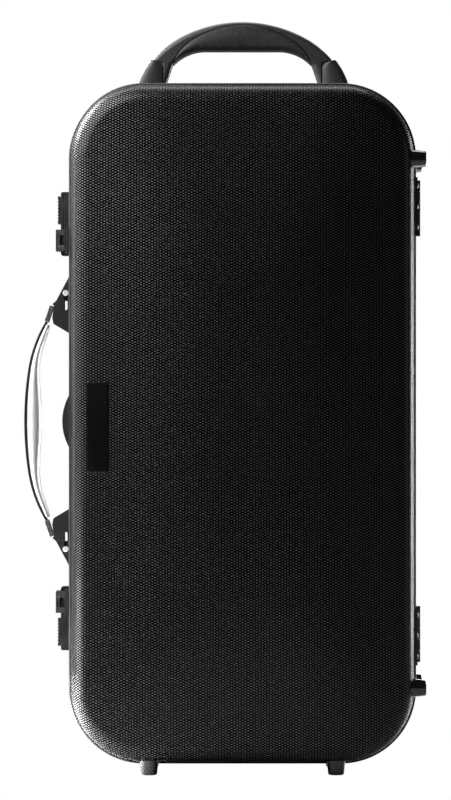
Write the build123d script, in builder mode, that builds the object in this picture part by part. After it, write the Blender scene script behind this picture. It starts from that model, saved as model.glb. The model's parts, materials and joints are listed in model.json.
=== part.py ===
from build123d import *
from math import asin, cos, degrees, radians, sin, sqrt, tan
import os

# A hard case for a dismantled bassoon, standing upright on its bottom feet. All lengths are in millimetres.
# The lid faces -Y, the base shell lies on the +Y side and the two meet on the plane y = 0. +Z is up.
# The hinges are on the right, at +X. The latches and the side handle are on the left.
# The origin lies on the ground, under the middle of the whole object.

# The body, measured over the rims
case_width = 337.0
case_length = 660.0
half_depth = 70.0
corner_radius = 73.0

# The two moulded shells, whose faces have a long central panel between two sloping sides
shell_wall = 3.2
shell_draft = 7.0
shoulder_radius = 17.0
panel_half_width = 54.0
side_slope = 8.5
crown_flat = 190.0
crown_radius = 2800.0
crease_radius = 500.0

# The rims that clasp the shells' edges, with a tongue on the base and a sealed groove in the lid
rim_height = 16.0
rim_width = 8.0
rim_lip = 2.0
rim_bevel = 0.5
channel_depth = 8.0
parting_gap = 0.4
tongue_inset = 3.0
tongue_width = 2.0
tongue_height = 2.6
groove_clearance = 0.8
groove_depth = 4.2
seal_thickness = 1.7

# What is riveted through the rims lies between these two distances from the parting plane
fitting_start = 0.8
fitting_end = 15.2
rivet_line = 11.6
rivet_diameter = 3.0
rivet_head_diameter = 5.6
rivet_head_height = 1.0
rivet_dome_fullness = 0.78
rivet_clearance = 0.1
fittings_rise = 2.0

# Hinges
hinge_end_gap = 20.3
hinge_leaf_length = 56.7
hinge_knuckle_length = 54.4
hinge_leaf_thickness = 1.3
hinge_knuckle_radius = 2.3
hinge_axis_offset = 2.5
hinge_pin_diameter = 2.4
hinge_pin_clearance = 0.05
hinge_knuckle_gap = 0.3
hinge_knuckle_count = 5
hinge_rivet_pitch = 20.0

# Slide latches
latch_offset = 192.2
latch_length = 62.0
latch_thickness = 8.4
latch_corner_radius = 2.2
latch_wall = 2.0
latch_groove_lines = (2.6, 5.2)
latch_groove_width = 0.9
latch_groove_depth = 0.5
latch_rivet_offset = 28.0
latch_rivet_seat = 1.3
flap_offset = -16.6
flap_width = 20.7
flap_thickness = 4.0
flap_gap = 0.3
flap_reach = 13.4
flap_window_width = 9.5
flap_leg_depth = 4.6
flap_lip_thickness = 1.0
flap_lip_depth = 0.8
flap_pin_diameter = 2.0
flap_pin_clearance = 0.05
flap_lug_width = 8.0
flap_lug_gap = 0.3
slide_offset = 13.4
slide_length = 27.0
slide_width = 11.0
slide_thickness = 2.4
slide_gap = 0.6
slide_travel = 6.0
slide_stem_length = 8.0
slide_stem_width = 4.4
slide_ridge_pitch = 3.2
slide_ridge_gap = 1.2
slide_ridge_depth = 0.6
slide_clearance = 0.4
bolt_thickness = 2.2
bolt_nose = 13.5
bolt_tail = 5.0
bolt_end_room = 0.6
keeper_length = 24.6
keeper_thickness = 4.1
keeper_post_height = 3.6
keeper_rivet_margin = 0.5

# Lock
lock_length = 49.5
lock_height = 6.3
lock_cylinder_diameter = 9.0
lock_cylinder_length = 4.6
lock_cylinder_clearance = 0.05
lock_cylinder_end_gap = 0.1
lock_rivet_offset = 16.5
lock_rivet_seat = 2.0
lock_groove_lines = (1.6, 3.6)
key_slot_depth = 2.0
key_slot_length = 5.2
key_slot_width = 1.4

# Side handle
handle_line = 30.0
bracket_width = 25.0
bracket_cheek = 2.2
bracket_web = 1.6
bracket_floor = 3.0
bracket_slope_end = (15.6, 114.4)
bracket_slope_start = (-8.0, 158.5)
bracket_nose = (17.6, 101.5)
bracket_heel = (16.6, 95.2)
bracket_foot = (-8.0, 80.5)
bracket_shoulder_radius = 16.0
bracket_nose_radius = 2.5
slot_width = 3.3
slot_depth_from_rim = 4.3
slot_outer_end = 125.3
slot_length = 18.4
side_pin_diameter = 3.1
side_pin_head_diameter = 5.8
side_pin_head_height = 1.2
side_pin_gap = 0.1
side_pin_bevel = 0.3
handle_reach = 45.3
handle_middle_radius = 330.0
handle_middle_half = 50.0
strap_end = (23.4, 97.5)
ferrule_end = (18.1, 113.0)
strap_thickness = 2.0
strap_width = 16.0
grip_sections = (
    (0.0, 28.3, 13.0),
    (31.0, 29.3, 13.0),
    (50.0, 30.2, 12.6),
    (60.0, 29.6, 12.2),
    (71.0, 26.9, 11.4),
    (84.0, 22.9, 10.4),
    (94.0, 20.6, 9.4),
)
grip_inset = 0.3
tongue_gap = 1.4
tongue_loop_wall = 1.4
tongue_tail = 4.5
ferrule_wall = 1.0
side_screw_offsets = (92.0, 134.0)
web_end = 123.0

# Top handle
top_reach = 63.0
top_outer_radius = 129.0
top_outer_half = 56.0
top_span_half = 103.4
top_width = 24.0
top_edge_radius = 5.0
top_shoulder_end = 1.0
top_under_height = 34.8
top_under_half = 36.0
top_arm_inner_top = (68.2, 20.5)
top_arm_inner_foot = (78.0, -8.0)
top_insert_end = (67.7, 20.6)
top_insert_line = ((62.8, 31.3), (51.4, 44.3), (34.0, 52.9))
top_insert_crown = 2.4
top_cap_half = 78.4
top_cap_height = 22.2
top_cap_slope = 0.27
top_cap_corner = 5.0
top_cap_wall = 2.2
top_cap_proud = 0.6
top_screw_offset = 89.5
top_screw_spacing = 10.0
top_screw_head_height = 1.2
top_screw_end_gap = 1.0

# Feet
foot_height = 13.0
foot_base_diameter = 17.8
foot_tip_diameter = 15.0
foot_edge_radius = 1.4
foot_line = 38.0
side_foot_gap = 2.3
bottom_foot_gap = 5.5
foot_recess_diameter = 7.4
foot_recess_depth = 4.0

# Screws
screw_diameter = 4.0
screw_head_diameter = 7.0
screw_head_height = 2.4
screw_clearance = 0.15
plate_thickness = 2.0
plate_corner_radius = 2.0

# Badge, left bare
badge_width = 20.4
badge_length = 86.6
badge_thickness = 1.6
badge_edge_gap = 29.3
badge_rise = -3.5
badge_corner_radius = 1.6
badge_bevel = 0.4

# Linings
lining_gap = 0.3
lining_rim_clearance = 2.6
lining_top = 5.0
lid_pad = 10.0
pocket_floor = 41.0
pocket_corner = 6.0
long_joint_length = 629.0
long_joint_width = 40.0
long_joint_x = 62.0
wing_joint_length = 512.0
wing_joint_width = 38.0
wing_joint_x = 118.0
boot_joint_length = 444.0
boot_joint_width = 66.0
boot_joint_x = -3.0
bell_length = 334.0
bell_width = 60.0
bell_x = -94.0
small_pocket_length = 90.0

lean = radians(shell_draft)
draft_rise = tan(lean)
foot_set_back = rim_lip + (foot_line - rim_height) * draft_rise
foot_reach = foot_height - foot_set_back
case_x = (handle_reach - foot_reach) / 2
case_z = foot_reach + case_length / 2
left_x = case_x - case_width / 2
right_x = case_x + case_width / 2
fittings_z = case_z + fittings_rise
fitting_middle = (fitting_start + fitting_end) / 2
fitting_half = (fitting_end - fitting_start) / 2
handle_set_back = rim_lip + (handle_line - rim_height) * draft_rise
hinge_inner_end = case_length / 2 - corner_radius - hinge_end_gap - hinge_leaf_length
side_foot_offset = case_length / 2 - corner_radius - side_foot_gap
bottom_foot_offset = case_width / 2 - corner_radius - bottom_foot_gap
badge_x = badge_edge_gap - case_width / 2
hands = ((1, "upper"), (-1, "lower"))
lid_side = -1
base_side = 1

os.makedirs("parts", exist_ok=True)


def outline(inset, mode=Mode.ADD):
    """The case seen from the front, drawn in by an inset."""
    width = case_width - 2 * inset
    length = case_length - 2 * inset
    return RectangleRounded(width, length, corner_radius - inset, mode=mode)


def face_plane(side, depth):
    """A plane along the parting plane, a depth into the lid or the base."""
    return Plane(origin=(case_x, side * depth, case_z), x_dir=(1, 0, 0), z_dir=(0, side, 0))


def side_view(y, z, hand):
    """A plane across the left side: local x points out from the rim and local y along it."""
    return Plane(origin=(left_x, y, z), x_dir=(-1, 0, 0), z_dir=(0, hand, 0))


def ring(side, start, stop, outer_inset, inner_inset, mode=Mode.ADD):
    """A band that follows the case's outline between two depths and two insets."""
    with BuildSketch(face_plane(side, start)) as band:
        outline(outer_inset)
        outline(inner_inset, mode=Mode.SUBTRACT)
    extrude(band.sketch, amount=stop - start, mode=mode)


def bar(z, hand, outward, along, across, mode=Mode.ADD):
    """A block on the left side, from its limits outward from the rim, along it and across it."""
    middle = (across[0] + across[1]) / 2
    with BuildSketch(side_view(middle, z, hand)) as section:
        with Locations(((outward[0] + outward[1]) / 2, (along[0] + along[1]) / 2)):
            Rectangle(outward[1] - outward[0], along[1] - along[0])
    extrude(section.sketch, amount=(across[1] - across[0]) / 2, both=True, mode=mode)


def rod(start, direction, length, diameter, mode=Mode.ADD):
    """A round bar from a point."""
    with BuildSketch(Plane(origin=start, z_dir=direction)) as section:
        Circle(diameter / 2)
    extrude(section.sketch, amount=length, mode=mode)


def rivet(head, direction, grip):
    """A rivet with a domed head, its shank through the grip and a clinched head beyond it."""
    sideways = Vector(0, 0, 1).cross(Vector(direction))
    with BuildSketch(Plane(origin=head, x_dir=(0, 0, 1), z_dir=sideways)) as half:
        with BuildLine():
            dome = ThreePointArc(
                (0, -rivet_head_height),
                (rivet_head_diameter / 4, -rivet_head_height * rivet_dome_fullness),
                (rivet_head_diameter / 2, 0),
            )
            Polyline(
                dome @ 1,
                (rivet_diameter / 2, 0),
                (rivet_diameter / 2, grip),
                (rivet_head_diameter / 2, grip),
                (rivet_head_diameter / 2, grip + rivet_head_height),
                (0, grip + rivet_head_height),
                (0, -rivet_head_height),
            )
        make_face()
    revolve(half.sketch, axis=Axis(head, direction))


def half_form(side, inset):
    """The solid inside one shell's surface: drafted sides, a crowned panel and two sloping flanks."""
    depth = half_depth - inset
    step = rim_lip + inset
    half_width = case_width / 2
    slope = tan(radians(side_slope))
    with BuildPart() as form:
        with BuildSketch(face_plane(side, rim_height)):
            outline(step)
        extrude(amount=half_depth, taper=shell_draft)
        with BuildSketch(Plane(origin=(case_x, 0, case_z), x_dir=(0, 0, 1), z_dir=(-side, 0, 0))):
            with BuildLine():
                flat = Line((-crown_flat / 2, depth), (crown_flat / 2, depth))
                turn = degrees(asin((case_length - crown_flat) / 2 / crown_radius))
                high = JernArc(flat @ 1, flat % 1, crown_radius, -turn)
                low = JernArc(flat @ 0, (flat % 0) * -1, crown_radius, turn)
                Polyline(high @ 1, (case_length / 2, 0), (-case_length / 2, 0), low @ 1)
            make_face()
        extrude(amount=case_width, both=True, mode=Mode.INTERSECT)
        with BuildSketch(Plane(origin=(case_x, 0, case_z), x_dir=(1, 0, 0), z_dir=(0, 0, side))):
            eave = depth - (half_width - panel_half_width) * slope
            ridge = depth + panel_half_width * slope
            gable = ((-half_width, 0), (half_width, 0), (half_width, eave), (0, ridge), (-half_width, eave))
            Polygon(*gable, align=None)
        extrude(amount=case_length, both=True, mode=Mode.INTERSECT)
        tops = form.faces().filter_by(lambda face: face.normal_at().Y * side > 0.8)
        flanks = tops.filter_by(lambda face: abs(face.normal_at().X) > 0.05)
        crowns = tops.filter_by(lambda face: abs(face.normal_at().X) < 0.05)
        fillet(flanks.edges() & crowns.edges(), radius=crease_radius)
        tops = form.faces().filter_by(lambda face: face.normal_at().Y * side > 0.8)
        walls = form.faces().filter_by(lambda face: abs(face.normal_at().Y) < 0.5)
        fillet(tops.edges() & walls.edges(), radius=max(shoulder_radius - inset, 1.0))
        with BuildSketch(face_plane(side, rim_height - channel_depth)):
            outline(step)
        extrude(amount=channel_depth)
    return form.part


def rim_rivets(side):
    """Where rivets pass through one half's rim: the axis start on the rim's face and its direction."""
    y = side * rivet_line
    places = []
    for hand, _ in hands:
        middle = fittings_z + hand * (hinge_inner_end + hinge_leaf_length / 2)
        for step in (-1, 0, 1):
            places.append(((right_x, y, middle + step * hinge_rivet_pitch), (-1, 0, 0)))
        latch_z = fittings_z + hand * latch_offset
        if side == base_side:
            offsets = (-latch_rivet_offset, latch_rivet_offset)
        else:
            offsets = (flap_offset - keeper_rivet_offset, flap_offset + keeper_rivet_offset)
        for offset in offsets:
            places.append(((left_x, y, latch_z + hand * offset), (1, 0, 0)))
    for offset in (-lock_rivet_offset, lock_rivet_offset):
        places.append(((left_x, y, fittings_z + offset), (1, 0, 0)))
    return places


keeper_rivet_offset = keeper_length / 2 - rivet_head_diameter / 2 - keeper_rivet_margin
rim_hole = rivet_diameter + 2 * rivet_clearance
shell_outer = {side: half_form(side, 0) for side in (lid_side, base_side)}
shell_inner = {side: half_form(side, shell_wall) for side in (lid_side, base_side)}

foot_places = []
for end in (1, -1):
    foot_places.append(((right_x - foot_set_back, case_z + end * side_foot_offset), (1, 0, 0)))
for end in (1, -1):
    bottom_z = case_z - case_length / 2 + foot_set_back
    foot_places.append(((case_x + end * bottom_foot_offset, bottom_z), (0, 0, -1)))


def foot_hole(side, place, direction, mode=Mode.SUBTRACT):
    """The screw hole of one foot, through the shell."""
    x, z = place
    start = Vector(x, side * foot_line, z) - Vector(direction) * 2 * shell_wall
    rod(start, direction, 4 * shell_wall, screw_diameter + 2 * screw_clearance, mode=mode)


# Screws that hold the side handle's brackets, and those up through the top wall into the top handle
side_screws = []
for hand, _ in hands:
    for offset in side_screw_offsets:
        side_screws.append((left_x, handle_line, fittings_z + hand * offset))
top_screws = []
for end in (1, -1):
    for step in (-0.5, 0.5):
        x = case_x + end * top_screw_offset + step * top_screw_spacing
        top_screws.append((x, handle_line, case_z + case_length / 2))

with BuildPart() as lid_shell:
    add(shell_outer[lid_side])
    add(shell_inner[lid_side], mode=Mode.SUBTRACT)
    for place, direction in rim_rivets(lid_side):
        rod(place, direction, rim_width, rim_hole, mode=Mode.SUBTRACT)
    for place, direction in foot_places:
        foot_hole(lid_side, place, direction)
lid_shell.part.label = "lid_shell"
export_step(lid_shell.part, "parts/lid_shell.step")

with BuildPart() as base_shell:
    add(shell_outer[base_side])
    add(shell_inner[base_side], mode=Mode.SUBTRACT)
    for place, direction in rim_rivets(base_side):
        rod(place, direction, rim_width, rim_hole, mode=Mode.SUBTRACT)
    for place, direction in foot_places:
        foot_hole(base_side, place, direction)
    for x, y, z in side_screws:
        rod((x, y, z), (1, 0, 0), 4 * shell_wall, screw_diameter + 2 * screw_clearance, mode=Mode.SUBTRACT)
    for x, y, z in top_screws:
        rod((x, y, z), (0, 0, -1), 4 * shell_wall, screw_diameter + 2 * screw_clearance, mode=Mode.SUBTRACT)
base_shell.part.label = "base_shell"
export_step(base_shell.part, "parts/base_shell.step")


def rim(side):
    """One rim's band, bevelled along its outer edges, with the channel that takes the shell's edge."""
    ring(side, parting_gap / 2, rim_height, 0, rim_width)
    bands = faces().filter_by(Axis.Y)
    chamfer([edge for face in bands for edge in face.outer_wire().edges()], length=rim_bevel)
    ring(side, rim_height - channel_depth, rim_height, rim_lip, rim_lip + shell_wall, mode=Mode.SUBTRACT)
    for place, direction in rim_rivets(side):
        rod(place, direction, rim_width, rim_hole, mode=Mode.SUBTRACT)


groove_inset = tongue_inset - groove_clearance
groove_inner = tongue_inset + tongue_width + groove_clearance
groove_floor = parting_gap / 2 + groove_depth

with BuildPart() as base_rim:
    rim(base_side)
    ring(
        base_side, parting_gap / 2 - tongue_height, parting_gap / 2,
        tongue_inset, tongue_inset + tongue_width,
    )
base_rim.part.label = "base_rim"
export_step(base_rim.part, "parts/base_rim.step")

with BuildPart() as lid_rim:
    rim(lid_side)
    ring(lid_side, parting_gap / 2, groove_floor, groove_inset, groove_inner, mode=Mode.SUBTRACT)
lid_rim.part.label = "lid_rim"
export_step(lid_rim.part, "parts/lid_rim.step")

with BuildPart() as rim_seal:
    ring(lid_side, groove_floor - seal_thickness, groove_floor, groove_inset, groove_inner)
rim_seal.part.label = "rim_seal"
export_step(rim_seal.part, "parts/rim_seal.step")

# Hinges: five knuckles on a pin, three on the base's leaf and two on the lid's
hinge_x = right_x + hinge_axis_offset
knuckle_pitch = hinge_knuckle_length / hinge_knuckle_count


def knuckle(z, hand, index, radius, spare, mode=Mode.ADD):
    """One knuckle's cylinder, or the clearance round it."""
    start = z + hand * (hinge_inner_end + index * knuckle_pitch + hinge_knuckle_gap / 2 - spare)
    length = knuckle_pitch - hinge_knuckle_gap + 2 * spare
    rod((hinge_x, 0, start), (0, 0, hand), length, 2 * radius, mode=mode)


for side, half in ((base_side, "base"), (lid_side, "lid")):
    for hand, place in hands:
        with BuildPart() as hinge_leaf:
            leaf_middle = fittings_z + hand * (hinge_inner_end + hinge_leaf_length / 2)
            plate_middle = (right_x, side * fitting_end / 2, leaf_middle)
            with BuildSketch(Plane(origin=plate_middle, x_dir=(0, 0, 1), z_dir=(1, 0, 0))):
                Rectangle(hinge_leaf_length, fitting_end - parting_gap)
            extrude(amount=hinge_leaf_thickness)
            for index in range(hinge_knuckle_count):
                mine = (index % 2 == 0) == (side == base_side)
                if not mine:
                    knuckle(
                        fittings_z, hand, index, hinge_knuckle_radius + hinge_knuckle_gap,
                        hinge_knuckle_gap, mode=Mode.SUBTRACT,
                    )
            for index in range(hinge_knuckle_count):
                mine = (index % 2 == 0) == (side == base_side)
                if mine:
                    knuckle(fittings_z, hand, index, hinge_knuckle_radius, 0)
            rod(
                (hinge_x, 0, leaf_middle - hinge_leaf_length), (0, 0, 1), 2 * hinge_leaf_length,
                hinge_pin_diameter + 2 * hinge_pin_clearance, mode=Mode.SUBTRACT,
            )
            for step in (-1, 0, 1):
                hole = (right_x, side * rivet_line, leaf_middle + step * hinge_rivet_pitch)
                rod(hole, (1, 0, 0), hinge_leaf_thickness, rim_hole, mode=Mode.SUBTRACT)
        hinge_leaf.part.label = f"hinge_{half}_leaf_{place}"
        export_step(hinge_leaf.part, f"parts/hinge_{half}_leaf_{place}.step")

with BuildPart() as hinge_pins:
    for hand, _ in hands:
        start = fittings_z + hand * hinge_inner_end
        rod((hinge_x, 0, start), (0, 0, hand), hinge_knuckle_length, hinge_pin_diameter)
hinge_pins.part.label = "hinge_pins"
export_step(hinge_pins.part, "parts/hinge_pins.step")

for side, half in ((base_side, "base"), (lid_side, "lid")):
    with BuildPart() as hinge_rivets:
        for place, direction in rim_rivets(side):
            if direction[0] < 0:
                head = (place[0] + hinge_leaf_thickness, place[1], place[2])
                rivet(head, direction, hinge_leaf_thickness + rim_width)
    hinge_rivets.part.label = f"hinge_{half}_rivets"
    export_step(hinge_rivets.part, f"parts/hinge_{half}_rivets.step")


# Latches. Along the rim, a latch's own lengths run from its flap towards its slide, away from the handle.
flap_start = latch_thickness + flap_gap
flap_middle = flap_start + flap_thickness / 2
flap_outer = flap_start + flap_thickness
flap_pivot_y = fitting_end - flap_thickness / 2
slide_start = latch_thickness + slide_gap
bolt_top = latch_thickness - latch_wall - slide_clearance


def rivet_recess(z, hand, offset, side, seat, top):
    """The round recess in which a rivet's head is sunk, in a fitting on the left side."""
    centre = (left_x - top, side * rivet_line, z + hand * offset)
    rod(centre, (1, 0, 0), top - seat, rivet_head_diameter + 4 * rivet_clearance, mode=Mode.SUBTRACT)
    rod(centre, (1, 0, 0), top, rim_hole, mode=Mode.SUBTRACT)


for hand, place in hands:
    latch_z = fittings_z + hand * latch_offset
    flap_z = latch_z + hand * flap_offset
    pivot_x = left_x - flap_middle

    with BuildPart() as latch_housing:
        with BuildSketch(side_view(fitting_middle, latch_z, hand)):
            with Locations((latch_thickness / 2, 0)):
                Rectangle(latch_thickness, latch_length)
            fillet(vertices().group_by(Axis.X)[-1], radius=latch_corner_radius)
        extrude(amount=fitting_half, both=True)
        for outward in latch_groove_lines:
            bar(
                latch_z, hand, (outward, outward + latch_groove_width), (-latch_length, latch_length),
                (fitting_start, fitting_start + latch_groove_depth), mode=Mode.SUBTRACT,
            )
        cavity = (
            slide_offset - bolt_nose - bolt_end_room,
            slide_offset + bolt_tail + slide_travel + slide_clearance,
        )
        bar(
            latch_z, hand, (0, latch_thickness - latch_wall), cavity,
            (fitting_start + latch_wall, fitting_end - latch_wall), mode=Mode.SUBTRACT,
        )
        slot_reach = slide_stem_length / 2 + slide_clearance
        slot_half = slide_stem_width / 2 + slide_clearance
        bar(
            latch_z, hand, (0, 2 * latch_thickness),
            (slide_offset - slot_reach, slide_offset + slide_travel + slot_reach),
            (fitting_middle - slot_half, fitting_middle + slot_half), mode=Mode.SUBTRACT,
        )
        lug = (-flap_lug_width / 2, flap_lug_width / 2)
        bar(
            flap_z, hand, (latch_thickness, flap_middle), lug,
            (flap_pivot_y - flap_thickness / 2, flap_pivot_y + flap_thickness / 2),
        )
        lug_start = (pivot_x, flap_pivot_y, flap_z - flap_lug_width / 2)
        rod(lug_start, (0, 0, 1), flap_lug_width, flap_thickness)
        rod(lug_start, (0, 0, 1), flap_lug_width, flap_pin_diameter, mode=Mode.SUBTRACT)
        for offset in (-latch_rivet_offset, latch_rivet_offset):
            seat = latch_thickness - latch_rivet_seat
            rivet_recess(latch_z, hand, offset, base_side, seat, latch_thickness)
    latch_housing.part.label = f"latch_housing_{place}"
    export_step(latch_housing.part, f"parts/latch_housing_{place}.step")

    with BuildPart() as latch_flap:
        half_flap = flap_width / 2
        half_window = flap_window_width / 2
        bar(flap_z, hand, (flap_start, flap_outer), (-half_flap, half_flap), (-flap_reach, flap_pivot_y))
        barrel_start = (pivot_x, flap_pivot_y, flap_z - half_flap)
        rod(barrel_start, (0, 0, 1), flap_width, flap_thickness)
        lug_space = flap_lug_width / 2 + flap_lug_gap
        bar(
            flap_z, hand, (0, 2 * flap_outer), (-lug_space, lug_space),
            (flap_pivot_y - flap_thickness / 2 - flap_lug_gap, 2 * fitting_end), mode=Mode.SUBTRACT,
        )
        for end in (1, -1):
            leg = sorted((end * half_window, end * half_flap))
            bar(
                flap_z, hand, (keeper_thickness + slide_clearance, flap_start), leg,
                (-flap_reach, -flap_reach + flap_leg_depth),
            )
        bar(
            flap_z, hand, (flap_start, flap_outer - flap_lip_thickness), (-half_window, half_window),
            (-flap_reach, -flap_reach + flap_lip_depth), mode=Mode.SUBTRACT,
        )
        flap_bore = flap_pin_diameter + 2 * flap_pin_clearance
        rod(barrel_start, (0, 0, 1), flap_width, flap_bore, mode=Mode.SUBTRACT)
    latch_flap.part.label = f"latch_flap_{place}"
    export_step(latch_flap.part, f"parts/latch_flap_{place}.step")

    with BuildPart() as latch_slide:
        half_slide = slide_length / 2
        slide_top = slide_start + slide_thickness
        across = (fitting_middle - slide_width / 2, fitting_middle + slide_width / 2)
        slide_ends = (slide_offset - half_slide, slide_offset + half_slide)
        bar(latch_z, hand, (slide_start, slide_top), slide_ends, across)
        for step in range(-3, 4):
            along = slide_offset + step * slide_ridge_pitch
            bar(
                latch_z, hand, (slide_top - slide_ridge_depth, slide_top),
                (along - slide_ridge_gap / 2, along + slide_ridge_gap / 2), across, mode=Mode.SUBTRACT,
            )
        bar(
            latch_z, hand, (bolt_top - bolt_thickness, slide_start),
            (slide_offset - slide_stem_length / 2, slide_offset + slide_stem_length / 2),
            (fitting_middle - slide_stem_width / 2, fitting_middle + slide_stem_width / 2),
        )
        bar(
            latch_z, hand, (bolt_top - bolt_thickness, bolt_top),
            (slide_offset - bolt_nose, slide_offset + bolt_tail),
            (fitting_middle - slide_stem_width, fitting_middle + slide_stem_width),
        )
    latch_slide.part.label = f"latch_slide_{place}"
    export_step(latch_slide.part, f"parts/latch_slide_{place}.step")

    with BuildPart() as latch_keeper:
        half_keeper = keeper_length / 2
        bar(flap_z, hand, (0, keeper_thickness), (-half_keeper, half_keeper), (-fitting_end, -fitting_start))
        half_post = flap_window_width / 2 - slide_clearance
        bar(
            flap_z, hand, (keeper_thickness, keeper_thickness + keeper_post_height), (-half_post, half_post),
            (-flap_reach + flap_leg_depth, -2 * fitting_start),
        )
        for offset in (-keeper_rivet_offset, keeper_rivet_offset):
            seat = keeper_thickness - latch_rivet_seat
            rivet_recess(flap_z, hand, offset, lid_side, seat, keeper_thickness)
    latch_keeper.part.label = f"latch_keeper_{place}"
    export_step(latch_keeper.part, f"parts/latch_keeper_{place}.step")

with BuildPart() as latch_flap_pins:
    for hand, _ in hands:
        flap_z = fittings_z + hand * (latch_offset + flap_offset)
        start = (left_x - flap_middle, flap_pivot_y, flap_z - flap_width / 2)
        rod(start, (0, 0, 1), flap_width, flap_pin_diameter)
latch_flap_pins.part.label = "latch_flap_pins"
export_step(latch_flap_pins.part, "parts/latch_flap_pins.step")

with BuildPart() as latch_rivets:
    for hand, _ in hands:
        for offset in (-latch_rivet_offset, latch_rivet_offset):
            seat = latch_thickness - latch_rivet_seat
            head = (left_x - seat, rivet_line, fittings_z + hand * (latch_offset + offset))
            rivet(head, (1, 0, 0), seat + rim_width)
latch_rivets.part.label = "latch_rivets"
export_step(latch_rivets.part, "parts/latch_rivets.step")

with BuildPart() as keeper_rivets:
    for hand, _ in hands:
        for offset in (-keeper_rivet_offset, keeper_rivet_offset):
            seat = keeper_thickness - latch_rivet_seat
            head = (left_x - seat, -rivet_line, fittings_z + hand * (latch_offset + flap_offset + offset))
            rivet(head, (1, 0, 0), seat + rim_width)
keeper_rivets.part.label = "keeper_rivets"
export_step(keeper_rivets.part, "parts/keeper_rivets.step")

# Lock: a low dome in the middle of the left side, split between the base and the lid
for side, name in ((base_side, "lock_housing"), (lid_side, "lock_striker")):
    with BuildPart() as lock_half:
        with BuildSketch(side_view(side * fitting_middle, fittings_z, 1)):
            with BuildLine():
                ThreePointArc((0, -lock_length / 2), (lock_height, 0), (0, lock_length / 2))
                Line((0, lock_length / 2), (0, -lock_length / 2))
            make_face()
        extrude(amount=fitting_half, both=True)
        for outward in lock_groove_lines:
            near = sorted((side * fitting_start, side * (fitting_start + latch_groove_depth)))
            far = sorted((side * fitting_end, side * (fitting_end - latch_groove_depth)))
            for across in (near, far):
                bar(
                    fittings_z, 1, (outward, outward + latch_groove_width), (-lock_length, lock_length),
                    across, mode=Mode.SUBTRACT,
                )
        for offset in (-lock_rivet_offset, lock_rivet_offset):
            rivet_recess(fittings_z, 1, offset, side, lock_rivet_seat, lock_height)
        if side == base_side:
            rod(
                (left_x - lock_height + lock_cylinder_length, fitting_middle, fittings_z), (-1, 0, 0),
                lock_height, lock_cylinder_diameter + 2 * lock_cylinder_clearance, mode=Mode.SUBTRACT,
            )
    lock_half.part.label = name
    export_step(lock_half.part, f"parts/{name}.step")

    with BuildPart() as lock_rivets:
        for offset in (-lock_rivet_offset, lock_rivet_offset):
            head = (left_x - lock_rivet_seat, side * rivet_line, fittings_z + offset)
            rivet(head, (1, 0, 0), lock_rivet_seat + rim_width)
    lock_rivets.part.label = f"{name}_rivets"
    export_step(lock_rivets.part, f"parts/{name}_rivets.step")

with BuildPart() as lock_cylinder:
    cylinder_start = left_x - lock_height + lock_cylinder_length - lock_cylinder_end_gap
    cylinder_middle = (cylinder_start, fitting_middle, fittings_z)
    rod(cylinder_middle, (-1, 0, 0), lock_cylinder_length, lock_cylinder_diameter)
    bar(
        fittings_z, 1, (lock_height - key_slot_depth, 2 * lock_height),
        (-key_slot_length / 2, key_slot_length / 2),
        (fitting_middle - key_slot_width / 2, fitting_middle + key_slot_width / 2), mode=Mode.SUBTRACT,
    )
lock_cylinder.part.label = "lock_cylinder"
export_step(lock_cylinder.part, "parts/lock_cylinder.step")

# Side handle: a sprung strap whose ends slide on cross pins in two brackets on the base
floor_top = bracket_floor - handle_set_back
web_run = Vector(*bracket_slope_end) - Vector(*bracket_slope_start)
web_slope = -web_run.Y / web_run.X
web_inner = bracket_web * sqrt(1 + web_slope ** 2)


def slope_height(outward, depth):
    """How far along the side the bracket's sloping face lies, at a distance from the rim."""
    return bracket_slope_end[1] + (bracket_slope_end[0] - outward - depth) * web_slope


def strap_path():
    """The middle line of the sprung strap, up to its ferrules."""
    apex = handle_reach - strap_thickness / 2
    turn = handle_middle_radius - sqrt(handle_middle_radius ** 2 - handle_middle_half ** 2)
    with BuildLine() as path:
        middle = ThreePointArc(
            (apex - turn, -handle_middle_half), (apex, 0), (apex - turn, handle_middle_half)
        )
        high = TangentArc(middle @ 1, strap_end, tangent=middle % 1)
        low = TangentArc(middle @ 0, (strap_end[0], -strap_end[1]), tangent=(middle % 0) * -1)
        Line(high @ 1, ferrule_end)
        Line(low @ 1, (ferrule_end[0], -ferrule_end[1]))
    return path


def strap_edge(along):
    """How far the strap's outer face stands from the rim, at a distance from its middle."""
    along = abs(along)
    turn = handle_middle_radius - sqrt(handle_middle_radius ** 2 - min(along, handle_middle_half) ** 2)
    if along <= handle_middle_half:
        return handle_reach - turn
    angle = asin(handle_middle_half / handle_middle_radius)
    start = Vector(handle_reach - turn, handle_middle_half)
    chord = Vector(strap_end[0] + strap_thickness / 2, strap_end[1]) - start
    inward = Vector(-cos(angle), -sin(angle))
    radius = chord.length ** 2 / (2 * inward.dot(chord))
    centre = start + inward * radius
    return centre.X + sqrt(radius ** 2 - (along - centre.Y) ** 2)


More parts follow.
